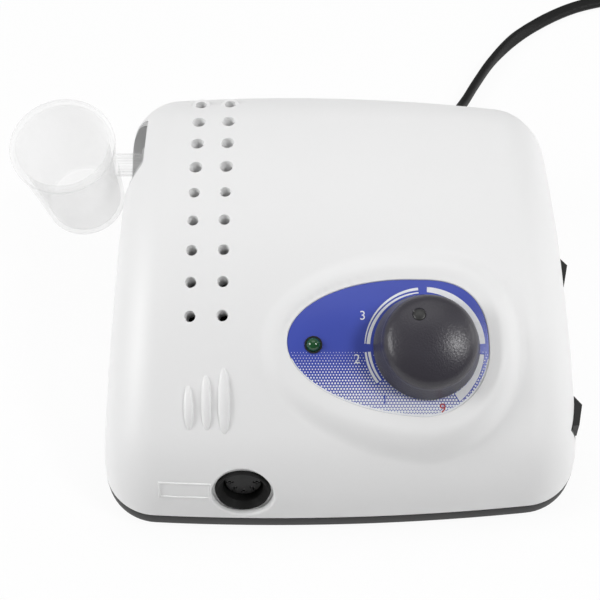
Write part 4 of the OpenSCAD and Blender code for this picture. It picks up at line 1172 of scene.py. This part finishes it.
def knob_profile():
    """Profile of the knob: foot, side, shoulder and dome."""
    dome_z = KNOB_H - DOME_R
    side = KNOB_TOP_R - SHOULDER_R
    shoulder_z = dome_z + math.sqrt((DOME_R - SHOULDER_R) ** 2 - side ** 2)
    turn = math.degrees(math.atan2(shoulder_z - dome_z, side))
    profile = [(0, 0), (KNOB_R - KNOB_EDGE, 0)]
    profile += arc((KNOB_R - KNOB_EDGE, KNOB_EDGE), KNOB_EDGE, -90, 0, 4)
    profile += [(KNOB_R, KNOB_FOOT - 0.2), (KNOB_R - 0.06, KNOB_FOOT + 0.1)]
    low = np.array(profile[-1])
    high = np.array([KNOB_TOP_R, shoulder_z])
    profile += [tuple(low + (high - low) * k / 12) for k in range(1, 12)]
    profile += arc((side, shoulder_z), SHOULDER_R, 0, turn, 12)
    return profile + arc((0, dome_z), DOME_R, turn, 90, 24)[1:-1] + [(0.0, KNOB_H)]


def dimple_frame():
    """Local frame of the dimple on the knob's dome, with the third axis out of the dome."""
    s, c = sin_cos(DIMPLE_TURN)
    rise = math.sqrt(DOME_R ** 2 - DIMPLE_AT ** 2)
    out = np.array([-s * DIMPLE_AT, c * DIMPLE_AT, rise]) / DOME_R
    ex = np.array([c, s, 0.0])
    origin = np.array([-s * DIMPLE_AT, c * DIMPLE_AT, KNOB_H - DOME_R + rise])
    return origin, ex, np.cross(out, ex), out


def make_knob():
    """Knob with a dimple in its dome and room for the nut, and the raised dot in the dimple."""
    lift = (0, 0, KNOB_GAP)
    knob = mesh_object("knob", placed(revolve(knob_profile(), 160), PANEL_FRAME, lift), 50)
    profile = [(0, -DIMPLE_DEPTH), (DIMPLE_R * 0.55, -DIMPLE_DEPTH), (DIMPLE_R * 0.85, -DIMPLE_DEPTH * 0.8),
               (DIMPLE_R, -DIMPLE_DEPTH * 0.5)] + mouth(DIMPLE_R, DIMPLE_MOUTH)
    profile.append((profile[-1][0], 2.0))
    hollow = placed(revolve(profile, 64), dimple_frame())
    room = revolve([(KNOB_ROOM_R, -1), (KNOB_ROOM_R, KNOB_ROOM_H)], 64)
    for shape in (hollow, room):
        combine(knob, placed(shape, PANEL_FRAME, lift), "DIFFERENCE", 50)
    dot_r = DIMPLE_R - DOT_GAP
    ball = [(dot_r, -DIMPLE_DEPTH - 0.2)]
    for k in range(13):
        s, c = sin_cos(90 * k / 12)
        ball.append((dot_r * c if k < 12 else 0.0, -DIMPLE_DEPTH * 0.75 + DOT_RISE * s))
    ball = placed(revolve(ball, 48), dimple_frame())
    return knob, mesh_object("knob_dot", placed(ball, PANEL_FRAME, lift), 60)


# Motor socket


def make_insert():
    """Dark insert of the motor socket, with a cross-shaped opening for each contact."""
    profile = [(INSERT_R, INSERT_Z - INSERT_L), (INSERT_R, INSERT_Z - 0.3), (INSERT_R - 0.1, INSERT_Z - 0.08),
               (INSERT_R - 0.35, INSERT_Z)]
    insert = mesh_object("socket_insert", placed(revolve(profile, 96), SOCKET_FRAME))
    for k in range(CONTACTS):
        s, c = sin_cos(-180 + CONTACT_STEP * k)
        place = ((CONTACT_CIRCLE_R * c, CONTACT_CIRCLE_R * s, 0), (c, s, 0), (-s, c, 0), (0, 0, 1))
        for length, width in CROSS_BARS:
            low = (-length / 2, -width / 2, INSERT_Z - CROSS_DEPTH)
            bar = box_shape(low, (length / 2, width / 2, INSERT_Z + 1))
            combine(insert, placed(placed(bar, place), SOCKET_FRAME), "DIFFERENCE")
    return insert


# Bit cup


def make_cup():
    """Clear cup with its ribbed peg, in one piece."""
    profile = [(0, 0)] + arc((CUP_BASE_R - CUP_BASE_ROUND, CUP_BASE_ROUND), CUP_BASE_ROUND, -90, 0, 6)
    lip_z = CUP_H - CUP_LIP_H
    lip_r = CUP_RIM_R - CUP_LIP_T
    inner_r = CUP_BASE_R - CUP_WALL
    profile += [(CUP_RIM_R - 0.9, lip_z - 0.5), (CUP_RIM_R - 0.15, lip_z - 0.15), (CUP_RIM_R, lip_z + 0.2),
                (CUP_RIM_R, CUP_H - 0.7), (CUP_RIM_R - 0.2, CUP_H - 0.2), (CUP_RIM_R - 0.7, CUP_H),
                (lip_r + 0.5, CUP_H), (lip_r + 0.12, CUP_H - 0.15), (lip_r, CUP_H - 0.5),
                (inner_r, CUP_FLOOR + 1), (inner_r - 0.3, CUP_FLOOR + 0.3), (inner_r - 1, CUP_FLOOR),
                (0, CUP_FLOOR)]
    cup = mesh_object("cup", revolve(profile, 128), shift=(0, 0, PEG_DROP - CUP_H))
    start = CUP_BASE_R + 0.4
    face = BUSH_FACE_X - CUP_X
    along_x = ((0, 0, 0), (0, 1, 0), (0, 0, 1), (1, 0, 0))
    core = [(PEG_CORE_R, start), (PEG_CORE_R, face), (PEG_R, face + 0.1), (PEG_R, face + PEG_IN_L)]
    combine(cup, placed(revolve(core, 64), along_x), "UNION", shift=HERE)
    rib = revolve([(PEG_RIB_R, start), (PEG_RIB_R, face - 0.6), (PEG_RIB_R * 0.5, face - 0.3)], 16)
    for k in range(PEG_RIBS):
        s, c = sin_cos(360 / PEG_RIBS * k)
        combine(cup, placed(rib, along_x, (PEG_CORE_R * c, PEG_CORE_R * s, 0)), "UNION", shift=HERE)
    s, c = sin_cos(CUP_LEAN)
    place = Vector(np.array([CUP_X, PEG_Y, PEG_Z]) + SHIFT) * MM
    for vertex in cup.data.vertices:
        x, y, z = vertex.co
        vertex.co = Vector((x, y * c - z * s, y * s + z * c)) + place
    shade(cup.data, 40)
    return cup


# Mains lead


def smooth_way(points, share):
    """Points of a smooth line through given ones, with a number of steps between each two."""
    p = np.asarray(points, float)
    padded = np.vstack([2 * p[0] - p[1], p, 2 * p[-1] - p[-2]])
    out = []
    for i in range(len(p) - 1):
        a, b, c, d = padded[i:i + 4]
        for k in range(share):
            t = k / share
            out.append(0.5 * (2 * b + (c - a) * t + (2 * a - 5 * b + 4 * c - d) * t ** 2
                              + (3 * b - a - 3 * c + d) * t ** 3))
    out.append(p[-1])
    return out


def coil_point(turn):
    """Place on the coil, which winds inwards, climbs a layer and winds outwards."""
    inwards = min(turn, COIL_TURNS)
    outwards = max(turn - COIL_TURNS - 0.5, 0)
    r = COIL_OUT - CORD_W * (inwards - outwards)
    climb = min(max((turn - COIL_TURNS) * 2, 0), 1)
    z = COIL_Z + COIL_LAYER * (1 - math.cos(math.pi * climb)) / 2
    s, c = sin_cos(360 * turn - 90)
    return np.array([COIL_AT[0] + r * c, COIL_AT[1] + r * s, z])


def cord_route():
    """Middle line of the lead from the strain relief over the table, through the coil to the plug."""
    start = np.array(RELIEF_END)
    step = np.array([CORD_W, 0, 0])
    free = [start, start + CORD_W * np.array(RELIEF_AXIS), *np.array(CORD_WAY), coil_point(0) - step]
    turns = 2 * COIL_TURNS + 0.5
    count = int(COIL_STEPS * turns)
    coil = [coil_point(turns * k / count) for k in range(count + 1)]
    return np.array(smooth_way(free, 3) + coil + [coil_point(turns) - step])


def cord_section():
    """Flat oval section of the lead, with its width upright and a faint groove along each face."""
    ring = []
    for k in range(CORD_SIDES):
        s, c = sin_cos(360 * k / CORD_SIDES)
        across = CORD_T / 2 * math.copysign(abs(c) ** 0.62, c)
        up = CORD_W / 2 * math.copysign(abs(s) ** 0.86, s)
        groove = 0.16 * math.exp(-(up / 0.55) ** 2) if abs(c) > 0.2 else 0
        ring.append((across - math.copysign(groove, c), up))
    return np.array(ring)


def ease(run, ends):
    """Soft step from 0 to 1 along a run."""
    t = np.clip((run - ends[0]) / (ends[1] - ends[0]), 0, 1)
    return t ** 2 * (3 - 2 * t)


def lead_turns(route):
    """Turn of the lead's section at each point of its route: upright, then almost flat, then upright."""
    run = np.concatenate([[0], np.cumsum(np.linalg.norm(np.diff(route, axis=0), axis=1))])
    return LIE_TURN * (ease(run, LIE_FROM) - ease(run, LIE_TO))


def settled(route):
    """The route let down where the lead lies flat."""
    turns = np.radians(lead_turns(route))
    section = cord_section()
    reach = np.outer(np.sin(turns), section[:, 0]) + np.outer(np.cos(turns), section[:, 1])
    low = route.copy()
    low[:, 2] -= CORD_W / 2 - reach.max(axis=1) - LIE_GAP
    return low


def make_cord(route, turns):
    """Lead along its route, with its section turned as given."""
    section = cord_section()
    rings = []
    last = len(route) - 1
    for i, p in enumerate(route):
        ahead = unit(route[min(i + 1, last)] - route[i - 1]) if i else np.array(RELIEF_AXIS)
        across = unit(np.cross(ahead, (0, 0, 1)))
        up = np.cross(across, ahead)
        s, c = sin_cos(turns[i])
        rings.append([p + (a * c - b * s) * across + (a * s + b * c) * up for a, b in section])
    return mesh_object("lead", loft(rings), 60, HERE)


def rounded_ring(w, h, r, z, corner=6):
    """Rounded rectangle as a ring of points."""
    ring = []
    for k, (sx, sy) in enumerate(((1, 1), (-1, 1), (-1, -1), (1, -1))):
        ring += arc((sx * (w / 2 - r), sy * (h / 2 - r)), r, 90 * k, 90 * k + 90, corner)
    return [(a, b, z) for a, b in ring]


def make_plug(start):
    """Moulded plug: a ribbed strain relief, a soft body and a finger groove."""
    high = 2 * start[2]
    rings = []
    for k in range(41):
        r = 3.9 + 2.1 * k / 40
        if 4 < k < 34 and k % 4 in (0, 1):
            r -= 0.7
        rings.append(rounded_ring(2 * r, 2 * r, r * 0.98, PLUG_RELIEF_L * k / 40))
    for share, z in PLUG_BODY:
        w = PLUG_NECK + (high - PLUG_NECK) * share
        h = PLUG_NECK + (PLUG_W - PLUG_NECK) * share
        rings.append(rounded_ring(w, h, min(5.9, 0.48 * min(w, h)), PLUG_RELIEF_L + z * PLUG_L / 30.0))
    return mesh_object("plug", placed(loft(rings), (start, (0, 0, 1), (0, 1, 0), (-1, 0, 0))), 42, HERE)


def make_tie():
    """Flat strap round the turns of the coil."""
    inner = COIL_OUT - CORD_W * COIL_TURNS - CORD_T / 2 - 0.6
    outer = COIL_OUT + CORD_T / 2 + 0.6
    high = COIL_Z + COIL_LAYER + CORD_W / 2 + 0.3
    middle = ((inner + outer) / 2, (TIE_T + high) / 2)
    half = TIE_W / 2
    rings = []
    for y, grow, r in ((-half, 0.25, 2.4), (-half + TIE_EDGE, TIE_T, 2.4), (half - TIE_EDGE, TIE_T, 2.4),
                       (half, 0.25, 2.4), (half, 0, 2.0), (-half, 0, 2.0)):
        ring = rounded_ring(outer - inner + 2 * grow, high - TIE_T + 2 * grow, r, 0, 5)
        rings.append([(COIL_AT[0] + middle[0] + a, COIL_AT[1] + y, middle[1] + b) for a, b, _ in ring])
    return mesh_object("tie", loft(rings, closed=True), shift=HERE)


def make_gland():
    """Gland in the rear wall with a ribbed, drooping strain relief."""
    flange = [(4.6, -6.5), (4.6, -0.1), (6.4, 0), (6.4, 1.5), (6.1, 1.9), (5.6, 2.0), (4.4, 2.0)]
    body = placed(revolve(flange, 48), rear_frame(*GLAND_AT))
    out = unit(np.array(RELIEF_AXIS))
    start = np.array(RELIEF_END) - SHIFT - RELIEF_L * out
    across = unit(np.cross(out, (0, 0, 1)))
    profile = [(4.4, -1.0)]
    for k in range(41):
        r = RELIEF_R + (CORD_W / 2 + 1 - RELIEF_R) * k / 40
        if 5 < k < 38 and k % 5 in (0, 1):
            r -= 0.6
        profile.append((r, RELIEF_L * k / 40))
    relief = placed(revolve(profile, 40), (start, across, np.cross(out, across), out))
    return mesh_object("gland", joined([body, relief]))


# Stage


def make_camera():
    data = bpy.data.cameras.new("camera")
    data.sensor_width = 36.0
    data.lens = CAMERA_LENS
    data.clip_start = 0.01
    camera = linked("camera", data)
    camera.location = Vector(CAMERA_AT) * MM
    camera.rotation_euler = [math.radians(a) for a in CAMERA_TURN]
    bpy.context.scene.camera = camera


def make_lamp(name, place, size, power):
    data = bpy.data.lights.new(name, "AREA")
    data.shape = "RECTANGLE"
    data.size, data.size_y = size
    data.energy = power
    lamp = linked(name, data)
    lamp.location = place
    aim = Vector(LAMP_TARGET) - Vector(place)
    lamp.rotation_euler = aim.to_track_quat("-Z", "Y").to_euler()


def ray_factor(tree, *rays):
    """Node whose first output is 1 for rays of the named kinds."""
    path = add(tree, "ShaderNodeLightPath")
    factor = path
    output = rays[0]
    for ray in rays[1:]:
        either = add(tree, "ShaderNodeMath", operation="MAXIMUM")
        wire(tree, (factor, output, either, 0), (path, ray, either, 1))
        factor = either
        output = 0
    return factor


def make_world():
    """Pale studio that is darker at the front, and plain white where it is seen directly or through glass."""
    world = bpy.data.worlds.new("studio")
    world.use_nodes = True
    tree = world.node_tree
    back = fill(tree.nodes["Background"], {"Color": rgb(1.0)})
    parts = add(tree, "ShaderNodeSeparateXYZ")
    fall = add(tree, "ShaderNodeMapRange", {"From Min": -0.7, "From Max": 0.5, "To Min": STUDIO_FRONT,
                                            "To Max": STUDIO_REAR})
    mix = add(tree, "ShaderNodeMix", {"B": 1.0}, data_type="FLOAT")
    seen = ray_factor(tree, "Is Camera Ray", "Is Transmission Ray")
    wire(tree, (add(tree, "ShaderNodeTexCoord"), "Generated", parts, "Vector"), (parts, "Y", fall, "Value"),
         (seen, 0, mix, "Factor"), (fall, "Result", mix, "A"), (mix, "Result", back, "Strength"))
    bpy.context.scene.world = world


def make_floor():
    """Pale paper, which shows almost white to the camera."""
    mesh = bpy.data.meshes.new("floor")
    corners = [(FLOOR_HALF * x, FLOOR_HALF * y, 0) for x, y in ((-1, -1), (1, -1), (1, 1), (-1, 1))]
    mesh.from_pydata(corners, [], [(0, 1, 2, 3)])
    floor = linked("floor", mesh)
    mat = finish("floor paper", 0.9, 0.9, specular=0.1)
    tree = mat.node_tree
    glow = add(tree, "ShaderNodeEmission", {"Color": rgb(1)})
    mix = add(tree, "ShaderNodeMixShader")
    share = add(tree, "ShaderNodeMath", {1: FLOOR_GLOW}, operation="MULTIPLY")
    seen = ray_factor(tree, "Is Camera Ray", "Is Transmission Ray", "Is Glossy Ray")
    wire(tree, (seen, 0, share, 0), (share, 0, mix, "Fac"), (principled(mat), "BSDF", mix, 1),
         (glow, "Emission", mix, 2), (mix, "Shader", tree.nodes["Material Output"], "Surface"))
    mesh.materials.append(mat)


# Scene


def wear(obj, mat):
    """Gives an object one material."""
    obj.data.materials.clear()
    obj.data.materials.append(mat)


def dress_solids(looks):
    """Gives each solid that stays the finish of its slot."""
    smoothing = smooth_by_angle()
    slots = {p["node"]: p["material_slot"] for p in FRAME["record"]["subparts"]}
    for node, obj in FRAME["nodes"].items():
        if obj.hide_render:
            continue
        wear(obj, looks["socket_black" if node == "motor_socket_shell" else slots[node]])
        for width, nodes in SOFT_EDGES.items():
            if node in nodes:
                soften(obj, width)
        smooth = obj.modifiers.new("smooth by angle", "NODES")
        smooth.node_group = smoothing


def main():
    bpy.context.scene.view_settings.view_transform = "Standard"
    make_camera()
    looks = make_looks()

    def dress(obj, slot, nodes=(), body="case", look=None):
        """Gives a new piece the material of its slot or look, puts it on its body and hides the solids that
        it stands for.
        """
        wear(obj, looks[look or slot])
        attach(obj, body)
        if nodes:
            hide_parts(*nodes)
        return obj

    # Lead, coil and plug
    straight = cord_route()
    route = settled(straight)
    lead = dress(make_cord(route, lead_turns(straight)), "cord_rubber", ("mains_cord", "cord_coil"))
    plug = dress(make_plug(route[-1]), "cord_rubber", ("mains_plug",))
    tie = dress(make_tie(), "cord_rubber", ("cord_tie",), look="black_matte")
    gland = dress(make_gland(), "cord_rubber", ("cord_gland",))

    # Housing and base
    even_normals(dress(make_housing(), "white_plastic", ("upper_housing",)))
    dress(make_fins(), "white_plastic")
    dress(make_label_frame(), "white_plastic")
    dress(make_base(), "grey_plastic", ("base_tray",))

    # Dial panel and its print
    dress(make_panel(), "blue_panel", ("dial_panel",))
    dress(make_dots(), "blue_panel", look="white_ink")
    top = -PANEL_SINK + 2 * PRINT_T
    dress(make_bands("speed_scale", DIAL_BANDS, top), "blue_panel", look="white_ink")
    dress(make_bands("scale_ground", DIAL_GROUNDS, top - 0.5 * PRINT_T), "blue_panel")
    for name, text, u, v, colour in NUMERALS:
        dress(make_numeral(name, text, u, v), "blue_panel", look=colour)

    # Knob, motor socket and cup
    knob, dot = make_knob()
    dress(knob, "knob_plastic", ("speed_knob",), "knob")
    dress(dot, "knob_dot", ("knob_pointer",), "knob")
    dress(make_insert(), "black_matte", ("motor_socket_insert",))
    dress(make_cup(), "clear_plastic", ("bit_cup",), "cup")
    dress_solids(looks)

    make_world()
    make_floor()
    for lamp in LAMPS:
        make_lamp(*lamp)


main()
